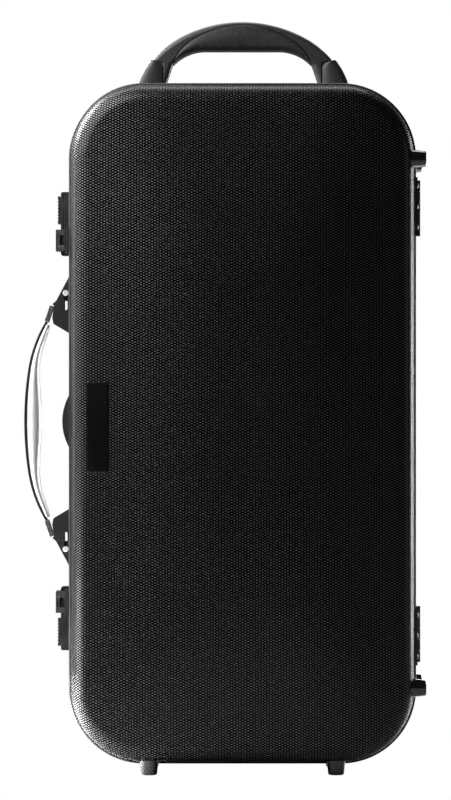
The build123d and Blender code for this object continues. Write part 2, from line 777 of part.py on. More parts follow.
for hand, place in hands:
    with BuildPart() as side_bracket:
        with BuildSketch(side_view(handle_line, fittings_z, hand)):
            Polygon(
                bracket_slope_start, bracket_slope_end, bracket_nose, bracket_heel, bracket_foot, align=None
            )
            fillet(vertices().sort_by_distance((*bracket_slope_end, 0))[0], radius=bracket_shoulder_radius)
            fillet(vertices().sort_by_distance((*bracket_nose, 0))[0], radius=bracket_nose_radius)
            fillet(vertices().sort_by_distance((*bracket_heel, 0))[0], radius=bracket_nose_radius)
        extrude(amount=bracket_width / 2, both=True)
        with BuildSketch(side_view(handle_line, fittings_z, hand)):
            web_foot = bracket_slope_end[0] - (web_end - bracket_slope_end[1]) / web_slope
            Polygon(
                (floor_top, slope_height(floor_top, web_inner / web_slope)),
                (web_foot - web_inner / web_slope, web_end),
                (web_foot + bracket_web, web_end),
                (2 * bracket_nose[0], web_end),
                (2 * bracket_nose[0], 0.5 * web_end),
                (floor_top, 0.5 * web_end),
                align=None,
            )
        extrude(amount=bracket_width / 2 - bracket_cheek, both=True, mode=Mode.SUBTRACT)
        with BuildSketch(side_view(handle_line, fittings_z, hand)):
            with Locations((slot_depth_from_rim, slot_outer_end - (slot_length - slot_width) / 2)):
                SlotOverall(slot_length, slot_width, rotation=90)
        extrude(amount=bracket_width, both=True, mode=Mode.SUBTRACT)
        add(shell_outer[base_side], mode=Mode.SUBTRACT)
        for offset in side_screw_offsets:
            hole = (left_x - floor_top, handle_line, fittings_z + hand * offset)
            rod(hole, (1, 0, 0), 2 * bracket_floor, screw_diameter + 2 * screw_clearance, mode=Mode.SUBTRACT)
    side_bracket.part.label = f"side_handle_bracket_{place}"
    export_step(side_bracket.part, f"parts/side_handle_bracket_{place}.step")

    with BuildPart() as side_tongue:
        pin_place = (slot_depth_from_rim, slot_outer_end)
        run = Vector(*pin_place) - Vector(*ferrule_end)
        tongue_start = Vector(*ferrule_end) + run.normalized() * tongue_gap
        with BuildSketch(side_view(handle_line, fittings_z, hand)):
            with BuildLine():
                Line((tongue_start.X, tongue_start.Y), pin_place)
            trace(line_width=strap_thickness)
            loop_width = side_pin_diameter + 2 * tongue_loop_wall
            with Locations((slot_depth_from_rim, slot_outer_end - tongue_tail / 2)):
                SlotOverall(tongue_tail + loop_width, loop_width, rotation=90)
            with Locations(pin_place):
                Circle(side_pin_diameter / 2, mode=Mode.SUBTRACT)
        extrude(amount=strap_width / 2, both=True)
    side_tongue.part.label = f"side_handle_tongue_{place}"
    export_step(side_tongue.part, f"parts/side_handle_tongue_{place}.step")

    with BuildPart() as side_pin:
        pin_x = left_x - slot_depth_from_rim
        pin_z = fittings_z + hand * slot_outer_end
        pin_reach = bracket_width / 2 + side_pin_gap
        rod((pin_x, handle_line - pin_reach, pin_z), (0, 1, 0), 2 * pin_reach, side_pin_diameter)
        for end in (1, -1):
            head = (pin_x, handle_line + end * pin_reach, pin_z)
            rod(head, (0, end, 0), side_pin_head_height, side_pin_head_diameter)
        chamfer(edges().filter_by(GeomType.CIRCLE).group_by(Axis.Y)[0], length=side_pin_bevel)
        chamfer(edges().filter_by(GeomType.CIRCLE).group_by(Axis.Y)[-1], length=side_pin_bevel)
    side_pin.part.label = f"side_handle_pin_{place}"
    export_step(side_pin.part, f"parts/side_handle_pin_{place}.step")

with BuildPart() as side_strap:
    with BuildSketch(side_view(handle_line, fittings_z, 1)):
        add(strap_path())
        trace(line_width=strap_thickness)
    extrude(amount=strap_width / 2, both=True)
side_strap.part.label = "side_handle_strap"
export_step(side_strap.part, "parts/side_handle_strap.step")

with BuildPart() as side_ferrules:
    with BuildSketch(side_view(handle_line, fittings_z, 1)):
        for end in (1, -1):
            with BuildLine():
                Line((strap_end[0], end * strap_end[1]), (ferrule_end[0], end * ferrule_end[1]))
            trace(line_width=strap_thickness + 2 * ferrule_wall)
    extrude(amount=strap_width / 2 + ferrule_wall, both=True)
    add(side_strap.part, mode=Mode.SUBTRACT)
side_ferrules.part.label = "side_handle_ferrules"
export_step(side_ferrules.part, "parts/side_handle_ferrules.step")

with BuildPart() as side_grip:
    stations = [(-along, inner, half) for along, inner, half in reversed(grip_sections[1:])]
    stations += list(grip_sections)
    for along, inner, half in stations:
        outer = strap_edge(along) - grip_inset
        centre = (left_x - (inner + outer) / 2, handle_line, fittings_z + along)
        with BuildSketch(Plane(origin=centre, x_dir=(1, 0, 0), z_dir=(0, 0, 1))):
            Ellipse((outer - inner) / 2, half)
    loft()
    add(side_strap.part, mode=Mode.SUBTRACT)
side_grip.part.label = "side_handle_grip"
export_step(side_grip.part, "parts/side_handle_grip.step")

with BuildPart() as side_plates:
    for hand, _ in hands:
        plate_middle = (side_screw_offsets[0] + side_screw_offsets[1]) / 2
        plate_half = (side_screw_offsets[1] - side_screw_offsets[0]) / 2 + screw_head_diameter
        bar(
            fittings_z, hand, (-2 * plate_thickness - shell_wall - handle_set_back, 0),
            (plate_middle - plate_half, plate_middle + plate_half),
            (handle_line - screw_head_diameter, handle_line + screw_head_diameter),
        )
    add(shell_inner[base_side], mode=Mode.INTERSECT)
    wall_face = Plane(
        origin=(left_x + handle_set_back + shell_wall, handle_line, 0), z_dir=(cos(lean), -sin(lean), 0)
    )
    split(bisect_by=wall_face.offset(plate_thickness), keep=Keep.BOTTOM)
    for x, y, z in side_screws:
        rod((x, y, z), (1, 0, 0), 20 * plate_thickness, screw_diameter, mode=Mode.SUBTRACT)
side_plates.part.label = "side_handle_backing_plates"
export_step(side_plates.part, "parts/side_handle_backing_plates.step")

with BuildPart() as side_bolts:
    for x, y, z in side_screws:
        head_seat = (x - floor_top, y, z)
        rod(head_seat, (-1, 0, 0), screw_head_height, screw_head_diameter)
        rod(head_seat, (1, 0, 0), bracket_floor + shell_wall + plate_thickness, screw_diameter)
side_bolts.part.label = "side_handle_screws"
export_step(side_bolts.part, "parts/side_handle_screws.step")


# Top handle: one bow with a soft insert round its grip, held by screws under two end caps
def top_view():
    """The plane of the top handle: local x runs across the case and local y up from its top rim."""
    return Plane(origin=(case_x, handle_line, case_z + case_length / 2), x_dir=(1, 0, 0), z_dir=(0, -1, 0))


def handle_form(proud):
    """The whole top handle with rounded edges, grown by a distance."""
    radius = top_outer_radius + proud
    half = top_outer_half + proud
    crown = top_reach + proud
    shoulder = crown - radius + sqrt(radius ** 2 - half ** 2)
    side = top_span_half + proud
    foot = top_arm_inner_foot[1]
    under = top_under_height - proud
    inner = (top_arm_inner_top[0] - proud, top_arm_inner_top[1])
    with BuildPart() as form:
        with BuildSketch(top_view()):
            with BuildLine():
                bow = ThreePointArc((-half, shoulder), (0, crown), (half, shoulder))
                right = TangentArc(bow @ 1, (side, top_shoulder_end), tangent=bow % 1)
                left = TangentArc(bow @ 0, (-side, top_shoulder_end), tangent=(bow % 0) * -1)
                flat = Line((-top_under_half, under), (top_under_half, under))
                right_bend = TangentArc(flat @ 1, inner, tangent=flat % 1)
                left_bend = TangentArc(flat @ 0, (-inner[0], inner[1]), tangent=(flat % 0) * -1)
                inner_foot = top_arm_inner_foot[0] - proud
                Polyline(right @ 1, (side, foot), (inner_foot, foot), right_bend @ 1)
                Polyline(left @ 1, (-side, foot), (-inner_foot, foot), left_bend @ 1)
            make_face()
        extrude(amount=top_width / 2 + proud, both=True)
        foot_level = case_z + case_length / 2 + foot + 1.0
        long_edges = edges().filter_by(Plane.XZ).filter_by(lambda edge: edge.center().Z > foot_level)
        fillet(long_edges, radius=max(top_edge_radius + proud, 0.5))
        add(shell_outer[base_side], mode=Mode.SUBTRACT)
    return form.part


def insert_prism():
    """The space of the soft insert: all that lies under the boundary line along the handle's grip."""
    with BuildPart() as prism:
        with BuildSketch(top_view()):
            with BuildLine():
                crown = (0, top_reach - top_insert_crown)
                left = [(-x, y) for x, y in top_insert_line]
                right = list(reversed(top_insert_line))
                ends = ((-top_insert_end[0], top_insert_end[1]), top_insert_end)
                rise = Spline(ends[0], *left, crown, *right, ends[1])
                Polyline(rise @ 1, (top_insert_end[0], 0), (-top_insert_end[0], 0), rise @ 0)
            make_face()
        extrude(amount=top_width, both=True)
    return prism.part


def cap_prism(wall):
    """The space of one handle's two end caps, or of the cores inside them."""
    with BuildPart() as prism:
        with BuildSketch(top_view()):
            for end in (1, -1):
                inner = end * top_cap_half
                outer = end * 1.2 * top_span_half
                top = top_cap_height - wall
                outer_top = top + top_cap_slope * abs(outer - inner)
                foot = top_arm_inner_foot[1]
                Polygon((inner, foot), (inner, top), (outer, outer_top), (outer, foot), align=None)
            fillet(
                [vertices().sort_by_distance((end * top_cap_half, top_cap_height, 0))[0] for end in (1, -1)],
                radius=top_cap_corner,
            )
        extrude(amount=top_width, both=True)
    return prism.part


handle_solid = handle_form(0)
handle_core = handle_form(-top_cap_wall)
handle_cover = handle_form(top_cap_proud)
insert_space = insert_prism()
cap_space = cap_prism(0)
core_space = cap_prism(top_cap_wall)

with BuildPart() as cap_cores:
    add(handle_core)
    add(core_space, mode=Mode.INTERSECT)

with BuildPart() as top_handle_body:
    add(handle_solid)
    add(insert_space, mode=Mode.SUBTRACT)
    add(cap_space, mode=Mode.SUBTRACT)
    add(cap_cores.part)
    for x, y, z in top_screws:
        rod((x, y, z), (0, 0, 1), top_cap_height / 2, screw_diameter, mode=Mode.SUBTRACT)
        rod((x, y, z), (0, 0, -1), top_cap_height / 2, screw_diameter, mode=Mode.SUBTRACT)
top_handle_body.part.label = "top_handle_body"
export_step(top_handle_body.part, "parts/top_handle_body.step")

with BuildPart() as top_handle_grip:
    add(handle_solid)
    add(insert_space, mode=Mode.INTERSECT)
top_handle_grip.part.label = "top_handle_grip"
export_step(top_handle_grip.part, "parts/top_handle_grip.step")

with BuildPart() as top_handle_caps:
    add(handle_cover)
    add(cap_space, mode=Mode.INTERSECT)
    add(cap_cores.part, mode=Mode.SUBTRACT)
top_handle_caps.part.label = "top_handle_end_caps"
export_step(top_handle_caps.part, "parts/top_handle_end_caps.step")

wall_inner = handle_set_back + shell_wall
with BuildPart() as top_plates:
    for end in (1, -1):
        middle = (case_x + end * top_screw_offset, handle_line, case_z + case_length / 2)
        with BuildSketch(Plane(origin=middle, z_dir=(0, 0, -1))):
            plate_length = top_screw_spacing + 2 * screw_head_diameter
            RectangleRounded(plate_length, 2 * screw_head_diameter, plate_corner_radius)
        extrude(amount=4 * plate_thickness + wall_inner)
    add(shell_inner[base_side], mode=Mode.INTERSECT)
    wall_face = Plane(
        origin=(case_x, handle_line, case_z + case_length / 2 - wall_inner), z_dir=(0, -sin(lean), -cos(lean))
    )
    split(bisect_by=wall_face.offset(plate_thickness), keep=Keep.BOTTOM)
    for x, y, z in top_screws:
        rod((x, y, z), (0, 0, -1), 20 * plate_thickness, screw_diameter, mode=Mode.SUBTRACT)
top_plates.part.label = "top_handle_backing_plates"
export_step(top_plates.part, "parts/top_handle_backing_plates.step")

with BuildPart() as top_bolts:
    for x, y, z in top_screws:
        seat_depth = wall_inner + plate_thickness / cos(lean) + screw_head_diameter / 2 * draft_rise
        head_seat = (x, y, z - seat_depth)
        rod(head_seat, (0, 0, -1), top_screw_head_height, screw_head_diameter)
        grip_length = wall_inner + plate_thickness + top_cap_height / 2 - top_screw_end_gap
        rod(head_seat, (0, 0, 1), grip_length, screw_diameter)
top_bolts.part.label = "top_handle_screws"
export_step(top_bolts.part, "parts/top_handle_screws.step")

# Feet: two on each half's hinge side and two under each half
for side, half in ((base_side, "base"), (lid_side, "lid")):
    groups = (("side_feet", foot_places[:2]), ("bottom_feet", foot_places[2:]))
    for name, places in groups:
        with BuildPart() as feet:
            for (x, z), direction in places:
                start = (x, side * foot_line, z)
                sideways = Vector(0, 1, 0).cross(Vector(direction))
                with BuildSketch(Plane(origin=start, x_dir=(0, 1, 0), z_dir=sideways)):
                    with BuildLine():
                        hole = screw_diameter / 2 + screw_clearance
                        Polyline(
                            (hole, -shell_wall), (foot_base_diameter / 2, -shell_wall),
                            (foot_base_diameter / 2, 0), (foot_tip_diameter / 2, foot_height),
                            (foot_recess_diameter / 2, foot_height),
                            (foot_recess_diameter / 2, foot_height - foot_recess_depth),
                            (hole, foot_height - foot_recess_depth), (hole, -shell_wall),
                        )
                    make_face()
                    tip_corner = (foot_tip_diameter / 2, foot_height, 0)
                    fillet(vertices().sort_by_distance(tip_corner)[0], radius=foot_edge_radius)
                revolve(axis=Axis(start, direction))
            add(shell_outer[side], mode=Mode.SUBTRACT)
        feet.part.label = f"{half}_{name}"
        export_step(feet.part, f"parts/{half}_{name}.step")

    with BuildPart() as foot_bolts:
        for (x, z), direction in foot_places:
            outward = Vector(direction)
            seat = Vector(x, side * foot_line, z) + outward * (foot_height - foot_recess_depth)
            rod(seat, outward, screw_head_height, screw_head_diameter)
            rod(seat, outward * -1, foot_height - foot_recess_depth + shell_wall, screw_diameter)
    foot_bolts.part.label = f"{half}_foot_screws"
    export_step(foot_bolts.part, f"parts/{half}_foot_screws.step")

# Badge plate, stuck on the lid's left flank
slope_angle = radians(side_slope)
badge_depth = half_depth - (abs(badge_x) - panel_half_width) * tan(slope_angle)
badge_plane = Plane(
    origin=(case_x + badge_x, -badge_depth, case_z + badge_rise),
    x_dir=(cos(slope_angle), -sin(slope_angle), 0),
    z_dir=(-sin(slope_angle), -cos(slope_angle), 0),
)
with BuildPart() as badge_plate:
    with BuildSketch(badge_plane.offset(-badge_thickness)):
        RectangleRounded(badge_width, badge_length, badge_corner_radius)
    extrude(amount=2 * badge_thickness)
    chamfer(faces().sort_by(Axis.Y)[0].edges(), length=badge_bevel)
    add(shell_outer[lid_side], mode=Mode.SUBTRACT)
badge_plate.part.label = "badge_plate"
export_step(badge_plate.part, "parts/badge_plate.step")

# Linings: a padded block with a pocket for each joint in the base, and a pad in the lid
lining_inset = rim_width + lining_rim_clearance
lining_form = {side: half_form(side, shell_wall + lining_gap) for side in (lid_side, base_side)}
pad_form = half_form(lid_side, shell_wall + lining_gap + lid_pad)
pockets = (
    (long_joint_x, 0.0, long_joint_width, long_joint_length),
    (wing_joint_x, 0.0, wing_joint_width, wing_joint_length),
    (boot_joint_x, 0.0, boot_joint_width, boot_joint_length),
    (bell_x, -(boot_joint_length - bell_length) / 2, bell_width, bell_length),
    (bell_x, (boot_joint_length - small_pocket_length) / 2, bell_width, small_pocket_length),
)


def lining_block(side):
    """The straight-sided block that drops in past a rim."""
    with BuildPart() as block:
        with BuildSketch(face_plane(side, lining_top)):
            outline(lining_inset)
        extrude(amount=half_depth)
        add(lining_form[side], mode=Mode.INTERSECT)
        with BuildSketch(face_plane(side, lining_top)):
            outline(lining_inset)
        extrude(amount=rim_height - channel_depth - lining_top)
    return block.part


with BuildPart() as base_lining:
    add(lining_block(base_side))
    for across, along, width, length in pockets:
        floor = Plane(
            origin=(case_x + across, pocket_floor, case_z + along), x_dir=(1, 0, 0), z_dir=(0, -1, 0)
        )
        with BuildSketch(floor):
            RectangleRounded(width, length, pocket_corner)
        extrude(amount=half_depth, mode=Mode.SUBTRACT)
base_lining.part.label = "base_lining"
export_step(base_lining.part, "parts/base_lining.step")

with BuildPart() as lid_hollow:
    with BuildSketch(face_plane(lid_side, 0)):
        outline(lining_inset + lid_pad)
    extrude(amount=half_depth)
    add(pad_form, mode=Mode.INTERSECT)
    with BuildSketch(face_plane(lid_side, 0)):
        outline(lining_inset + lid_pad)
    extrude(amount=rim_height - channel_depth)

with BuildPart() as lid_lining:
    add(lining_block(lid_side))
    add(lid_hollow.part, mode=Mode.SUBTRACT)
lid_lining.part.label = "lid_lining"
export_step(lid_lining.part, "parts/lid_lining.step")
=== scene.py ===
import json

import bmesh
import bpy
import numpy as np
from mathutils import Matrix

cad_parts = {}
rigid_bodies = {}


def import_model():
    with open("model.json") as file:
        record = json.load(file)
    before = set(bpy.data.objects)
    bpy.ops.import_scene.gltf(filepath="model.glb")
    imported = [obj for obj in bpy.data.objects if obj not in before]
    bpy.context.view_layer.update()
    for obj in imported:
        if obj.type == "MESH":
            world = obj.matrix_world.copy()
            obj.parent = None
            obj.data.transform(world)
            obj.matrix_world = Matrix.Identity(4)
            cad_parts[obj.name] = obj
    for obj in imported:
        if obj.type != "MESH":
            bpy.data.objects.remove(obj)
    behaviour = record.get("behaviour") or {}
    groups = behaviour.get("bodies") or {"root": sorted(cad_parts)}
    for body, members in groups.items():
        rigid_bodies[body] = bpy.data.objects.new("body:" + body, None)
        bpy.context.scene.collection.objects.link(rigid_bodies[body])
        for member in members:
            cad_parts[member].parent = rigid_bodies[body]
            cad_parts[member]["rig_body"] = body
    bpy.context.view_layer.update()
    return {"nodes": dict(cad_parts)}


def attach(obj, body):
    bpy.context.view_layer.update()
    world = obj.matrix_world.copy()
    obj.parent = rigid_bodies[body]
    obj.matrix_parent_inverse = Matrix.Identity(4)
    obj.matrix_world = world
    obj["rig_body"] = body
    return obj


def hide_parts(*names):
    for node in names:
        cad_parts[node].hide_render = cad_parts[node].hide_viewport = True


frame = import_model()

# The two moulded shells. Each is one thermoformed sheet with drafted sides, a rounded shoulder and a face
# whose long middle panel lies between two sloping flanks. A film embossed with a fine woven lozenge covers
# it, and its lower edge stands in the channel of its rim. The lozenge is given in metres, the rest in mm.
mm = 0.001
case_middle_x = 18.5006
case_middle_z = 338.2987
case_half_width = 168.5
case_half_length = 330.0
case_corner_radius = 73.0
shell_depth = 70.0
shell_wall = 3.2
shell_lip = 2.0
shell_draft = np.radians(7.0)
shoulder_radius = 17.0
panel_half_width = 54.0
flank_slope = np.tan(np.radians(8.5))
crown_flat_half = 95.0
crown_radius = 2800.0
crease_blend = 5.6
rim_height = 16.0
channel_floor = 8.0
outline_step = 7.0
corner_steps = 26
shoulder_steps = 14
face_steps = 35
ridge_half = 150.0
merged_within = 2e-6
sharp_angle = np.radians(38)
lozenge_width = 0.0054
lozenge_height = 0.0026
# The lines' near black is painted shade: the shadow down in the grooves between the lozenges.
groove_painted_shade = (0.0002, 0.0002, 0.0002)
lozenge_grey = (0.135, 0.135, 0.136)
line_roughness = 0.9
lozenge_roughness = 0.38


def case_path(step, turn_steps):
    """The path that follows the case's outline: for each point, the centre that it turns about and the outward
    direction. A band at an inset lies at centre + direction * (corner radius - inset)."""
    run_x = case_half_width - case_corner_radius
    run_z = case_half_length - case_corner_radius
    corners = np.array([(run_x, run_z), (-run_x, run_z), (-run_x, -run_z), (run_x, -run_z)])
    centres, directions = [], []
    for index, corner in enumerate(corners):
        angle = np.linspace(0, np.pi / 2, turn_steps + 1) + index * np.pi / 2
        turn = np.stack((np.cos(angle), np.sin(angle)), axis=1)
        gap = corners[(index + 1) % 4] - corner
        count = int(np.hypot(*gap) // step)
        share = np.arange(1, count)[:, None] / count
        centres += [np.repeat(corner[None], len(turn), axis=0), corner + share * gap]
        directions += [turn, np.repeat(turn[-1:], count - 1, axis=0)]
    return np.concatenate(centres), np.concatenate(directions)


def stand(plan, depth, side):
    """Points of the case in metres, from their place on the face and their distance from the parting plane."""
    x, z, depth = np.broadcast_arrays(case_middle_x + plan[..., 0], case_middle_z + plan[..., 1], depth)
    return np.stack((x, side * depth, z), axis=-1) * mm


def surface(name, grids, around=True, across=False, uv=None):
    """A mesh of one quad per cell of each grid of points. The first index runs around the piece and the second
    across it, and either may close on itself. Doubled points at seams and poles are merged."""
    points, quads, start = [], [], 0
    for grid in grids:
        rows, columns = grid.shape[:2]
        row = np.arange(rows if around else rows - 1)[:, None]
        column = np.arange(columns if across else columns - 1)[None, :]
        next_row, next_column = (row + 1) % rows, (column + 1) % columns
        cell = [row * columns + column, next_row * columns + column]
        cell += [next_row * columns + next_column, row * columns + next_column]
        quads.append(np.stack(cell, axis=-1).reshape(-1, 4) + start)
        points.append(grid.reshape(-1, 3))
        start += rows * columns
    mesh = bpy.data.meshes.new(name)
    mesh.from_pydata(np.concatenate(points).tolist(), [], np.concatenate(quads).tolist())
    if uv is not None:
        corner = np.zeros(len(mesh.loops), np.int32)
        mesh.loops.foreach_get("vertex_index", corner)
        mesh.uv_layers.new(name="UVMap").data.foreach_set("uv", uv.reshape(-1, 2)[corner].ravel())
    work = bmesh.new()
    work.from_mesh(mesh)
    bmesh.ops.remove_doubles(work, verts=work.verts, dist=merged_within)
    bmesh.ops.recalc_face_normals(work, faces=work.faces)
    work.to_mesh(mesh)
    work.free()
    mesh.shade_smooth()
    mesh.set_sharp_from_angle(angle=sharp_angle)
    piece = bpy.data.objects.new(name, mesh)
    bpy.context.scene.collection.objects.link(piece)
    return piece


def face_depth(plan):
    """How far the face stands from the parting plane: the lower of a barrel crown along the case and two
    flanks that slope away from the middle panel, with the crease between them rounded off."""
    along = np.maximum(np.abs(plan[..., 1]) - crown_flat_half, 0)
    crown = shell_depth - crown_radius + np.sqrt(crown_radius**2 - along**2)
    flank = shell_depth - (np.abs(plan[..., 0]) - panel_half_width) * flank_slope
    near = np.clip(1 - np.abs(crown - flank) / crease_blend, 0, None)
    return np.minimum(crown, flank) - near**2 * crease_blend / 4


def moulded_shell(name, side):
    """One shell. Across the shell the profile climbs the drafted wall, turns over the shoulder as a circle that
    touches wall and face, and runs over the face to a ridge line in its middle. The pattern's coordinates are the
    wall and the shoulder unrolled into the face's plane."""
    centre, outward = case_path(outline_step, corner_steps)
    lean_cos, lean_sin = np.cos(shell_draft), np.sin(shell_draft)
    inset = np.full(len(centre), shell_lip + shoulder_radius)
    for _ in range(10):
        plan = centre + outward * (case_corner_radius - inset)[:, None]
        rise = face_depth(plan - outward * 0.5) - face_depth(plan + outward * 0.5)
        steep = np.sqrt(1 + rise**2)
        ball_depth = face_depth(plan) - shoulder_radius / steep
        ball_inset = shell_lip + (shoulder_radius + (ball_depth - rim_height) * lean_sin) / lean_cos
        inset = ball_inset - shoulder_radius * rise / steep
    top = np.arctan2(1, rise)
    turn = shell_draft + (top - shell_draft)[:, None] * np.linspace(0, 1, shoulder_steps + 1)[None, :]
    arc_inset = ball_inset[:, None] - shoulder_radius * np.cos(turn)
    arc_depth = ball_depth[:, None] + shoulder_radius * np.sin(turn)
    share = np.array([0, 0.25, 0.5, 0.75])[None, :]
    wall_depth = rim_height + (arc_depth[:, :1] - rim_height) * share
    wall_inset = shell_lip + (wall_depth - rim_height) * np.tan(shell_draft)
    foot = np.ones((len(centre), 1))
    insets = np.concatenate((foot * shell_lip, wall_inset, arc_inset), axis=1)
    depths = np.concatenate((foot * channel_floor, wall_depth, arc_depth), axis=1)
    edge = centre[:, None] + outward[:, None] * (case_corner_radius - insets)[..., None]
    middle = np.stack((0 * plan[:, 0], np.clip(plan[:, 1], -ridge_half, ridge_half)), axis=1)
    share = np.linspace(0, 1, face_steps + 1)[None, 1:, None]
    face = edge[:, -1:] * (1 - share) + middle[:, None] * share
    arc_length = shoulder_radius * (top[:, None] - turn)
    wall_length = arc_length[:, :1] + (arc_depth[:, :1] - depths[:, :5]) / lean_cos
    unrolled = edge[:, -1:] + outward[:, None] * np.concatenate((wall_length, arc_length), axis=1)[..., None]
    grid = np.concatenate((stand(edge, depths, side), stand(face, face_depth(face), side)), axis=1)
    piece = surface(name, [grid], uv=np.concatenate((unrolled, face), axis=1) * mm)
    wall = piece.modifiers.new("wall", "SOLIDIFY")
    wall.thickness = shell_wall * mm
    wall.offset = -1
    return piece


def start_finish(name, **settings):
    """A new material: its node tree and its shader, with the shader's own sockets set."""
    material = bpy.data.materials.new(name)
    material.use_nodes = True
    shader = material.node_tree.nodes["Principled BSDF"]
    for socket, value in settings.items():
        shader.inputs[socket.replace("_", " ")].default_value = value
    return material, material.node_tree, shader


def add_node(tree, kind, inputs, **options):
    """A node with its options and inputs set, each input a value or another node's output. Gives its first output."""
    node = tree.nodes.new("ShaderNode" + kind)
    for option, value in options.items():
        setattr(node, option, value)
    for socket, value in inputs.items():
        if isinstance(value, bpy.types.NodeSocket):
            tree.links.new(value, node.inputs[socket])
        else:
            node.inputs[socket].default_value = value
    return node.outputs[0]


def spread(tree, value, low, high, dark, light):
    """A value from low to high, stretched to run from dark to light without a kink at its ends."""
    inputs = {"Value": value, "From Min": low, "From Max": high, "To Min": dark, "To Max": light}
    return add_node(tree, "MapRange", inputs, interpolation_type="SMOOTHSTEP")


def tint(tree, share, dark, light):
    """A colour between two, by a share from 0 to 1."""
    node = tree.nodes.new("ShaderNodeMix")
    node.data_type = "RGBA"
    tree.links.new(share, node.inputs[0])
    node.inputs[6].default_value = (*dark, 1)
    node.inputs[7].default_value = (*light, 1)
    return node.outputs[2]


def woven_film():
    """The embossed film: two sets of slanting waves, (1 + cos) / 2 of x / width + y / height and of its mirror
    image. Their product is 1 in the middle of each lozenge and 0 along the lines between them. It raises the
    lozenges and makes them smoother and paler than the lines, whose near black is painted shade for the
    recessed grooves."""
    material, tree, shader = start_finish("woven_film", Metallic=1.0, Coat_Weight=0.12, Coat_Roughness=0.06)
    at = tree.nodes.new("ShaderNodeUVMap").outputs[0]
    parts = tree.nodes.new("ShaderNodeSeparateXYZ")
    tree.links.new(at, parts.inputs[0])
    x, y = parts.outputs[0], parts.outputs[1]
    waves = []
    for sign in (1, -1):
        across = add_node(tree, "Math", {0: x, 1: sign * 2 * np.pi / lozenge_width}, operation="MULTIPLY")
        slant = add_node(tree, "Math", {0: y, 1: 2 * np.pi / lozenge_height, 2: across}, operation="MULTIPLY_ADD")
        wave = add_node(tree, "Math", {0: slant}, operation="COSINE")
        waves.append(add_node(tree, "Math", {0: wave, 1: 0.5, 2: 0.5}, operation="MULTIPLY_ADD"))
    raised = add_node(tree, "Math", {0: waves[0], 1: waves[1]}, operation="MULTIPLY")
    pillow = add_node(tree, "Math", {0: raised, 1: 0.8}, operation="POWER")
    at = tree.nodes.new("ShaderNodeTexCoord").outputs["Object"]
    drift = add_node(tree, "TexNoise", {"Vector": at, "Scale": 9.0, "Detail": 3.0})
    grain = add_node(tree, "TexNoise", {"Vector": at, "Scale": 1400.0, "Detail": 2.0})
    lozenge = spread(tree, pillow, 0.30, 0.66, 0.0, 1.0)
    # The lines take painted shade, near black, for the recessed grooves between the lozenges.
    tree.links.new(tint(tree, lozenge, groove_painted_shade, lozenge_grey), shader.inputs["Base Color"])
    gloss = spread(tree, pillow, 0.2, 0.6, line_roughness, lozenge_roughness)
    uneven = spread(tree, drift, 0.3, 0.7, -0.02, 0.02)
    tree.links.new(add_node(tree, "Math", {0: gloss, 1: uneven}, operation="ADD"), shader.inputs["Roughness"])
    fine = add_node(tree, "Bump", {"Strength": 0.04, "Distance": 0.00005, "Height": grain})
    weave = add_node(tree, "Bump", {"Strength": 0.35, "Distance": 0.0004, "Height": pillow, "Normal": fine})
    tree.links.new(weave, shader.inputs["Normal"])
    return material


def finish(piece, material, body, slot, *nodes):
    """Gives a finished piece its material, the body that it rides on and the CAD nodes it stands for, which it hides.
    The slot is not used.
    """
    piece.data.materials.clear()
    piece.data.materials.append(material)
    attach(piece, body)
    if nodes:
        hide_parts(*nodes)
    return piece


lid_side, base_side = -1, 1
film = woven_film()
finish(moulded_shell("lid_moulding", lid_side), film, "lid", "shell", "lid_shell")
finish(moulded_shell("base_moulding", base_side), film, "base", "shell", "base_shell")

# The rims. Two moulded bands clasp the shells' edges and meet at the parting plane, where a tongue on the
# base's rim enters a groove in the lid's. Their outer edges are eased and their faces are satin.
rim_width = 8.0
rim_round, rim_corner = 1.7, 0.5
rim_step, rim_steps = 24.0, 40
parting = 0.2
tongue_outer, tongue_inner, tongue_top = 3.0, 5.0, -2.4
groove_outer, groove_inner, groove_floor = 2.2, 5.8, 4.4


def eased(corners, ease, steps=4):
    """A closed profile whose corners are rounded: each becomes a short curve between its two sides, no longer
    than a little under half of either."""
    corners = np.array(corners, float)
    ease = np.broadcast_to(np.array(ease, float), len(corners))[:, None]
    share = np.linspace(0, 1, steps + 1)[None, :, None]
    ends = []
    for neighbour in (np.roll(corners, 1, axis=0), np.roll(corners, -1, axis=0)):
        gap = neighbour - corners
        length = np.linalg.norm(gap, axis=1)[:, None]
        ends.append((corners + gap / length * np.minimum(ease, 0.45 * length))[:, None])
    curve = ends[0] * (1 - share) ** 2 + corners[:, None] * 2 * share * (1 - share) + ends[1] * share**2
    return curve.reshape(-1, 2)


def case_band(name, side, profile):
    """A band of one closed profile, of insets and depths, carried round the case."""
    centre, outward = case_path(rim_step, rim_steps)
    plan = centre[:, None] + outward[:, None] * (case_corner_radius - profile[None, :, 0])[..., None]
    return surface(name, [stand(plan, profile[None, :, 1], side)], across=True)


def satin_moulding(name, dark, light, low, high, grain_size, relief, glint=0.45):
    """A moulded plastic with a fine spark-eroded grain: small noise raises it by up to relief and takes its colour
    from dark to light, and slower noise takes its roughness from low to high."""
    material, tree, shader = start_finish(name, Specular_IOR_Level=glint)
    at = tree.nodes.new("ShaderNodeTexCoord").outputs["Object"]
    grain = add_node(tree, "TexNoise", {"Vector": at, "Scale": 1 / grain_size, "Detail": 3.0, "Roughness": 0.6})
    drift = add_node(tree, "TexNoise", {"Vector": at, "Scale": 22.0, "Detail": 4.0})
    tree.links.new(tint(tree, spread(tree, grain, 0.3, 0.7, 0.0, 1.0), dark, light), shader.inputs["Base Color"])
    tree.links.new(spread(tree, drift, 0.3, 0.7, low, high), shader.inputs["Roughness"])
    bump = add_node(tree, "Bump", {"Strength": 0.5, "Distance": relief, "Height": grain})
    tree.links.new(bump, shader.inputs["Normal"])
    return material


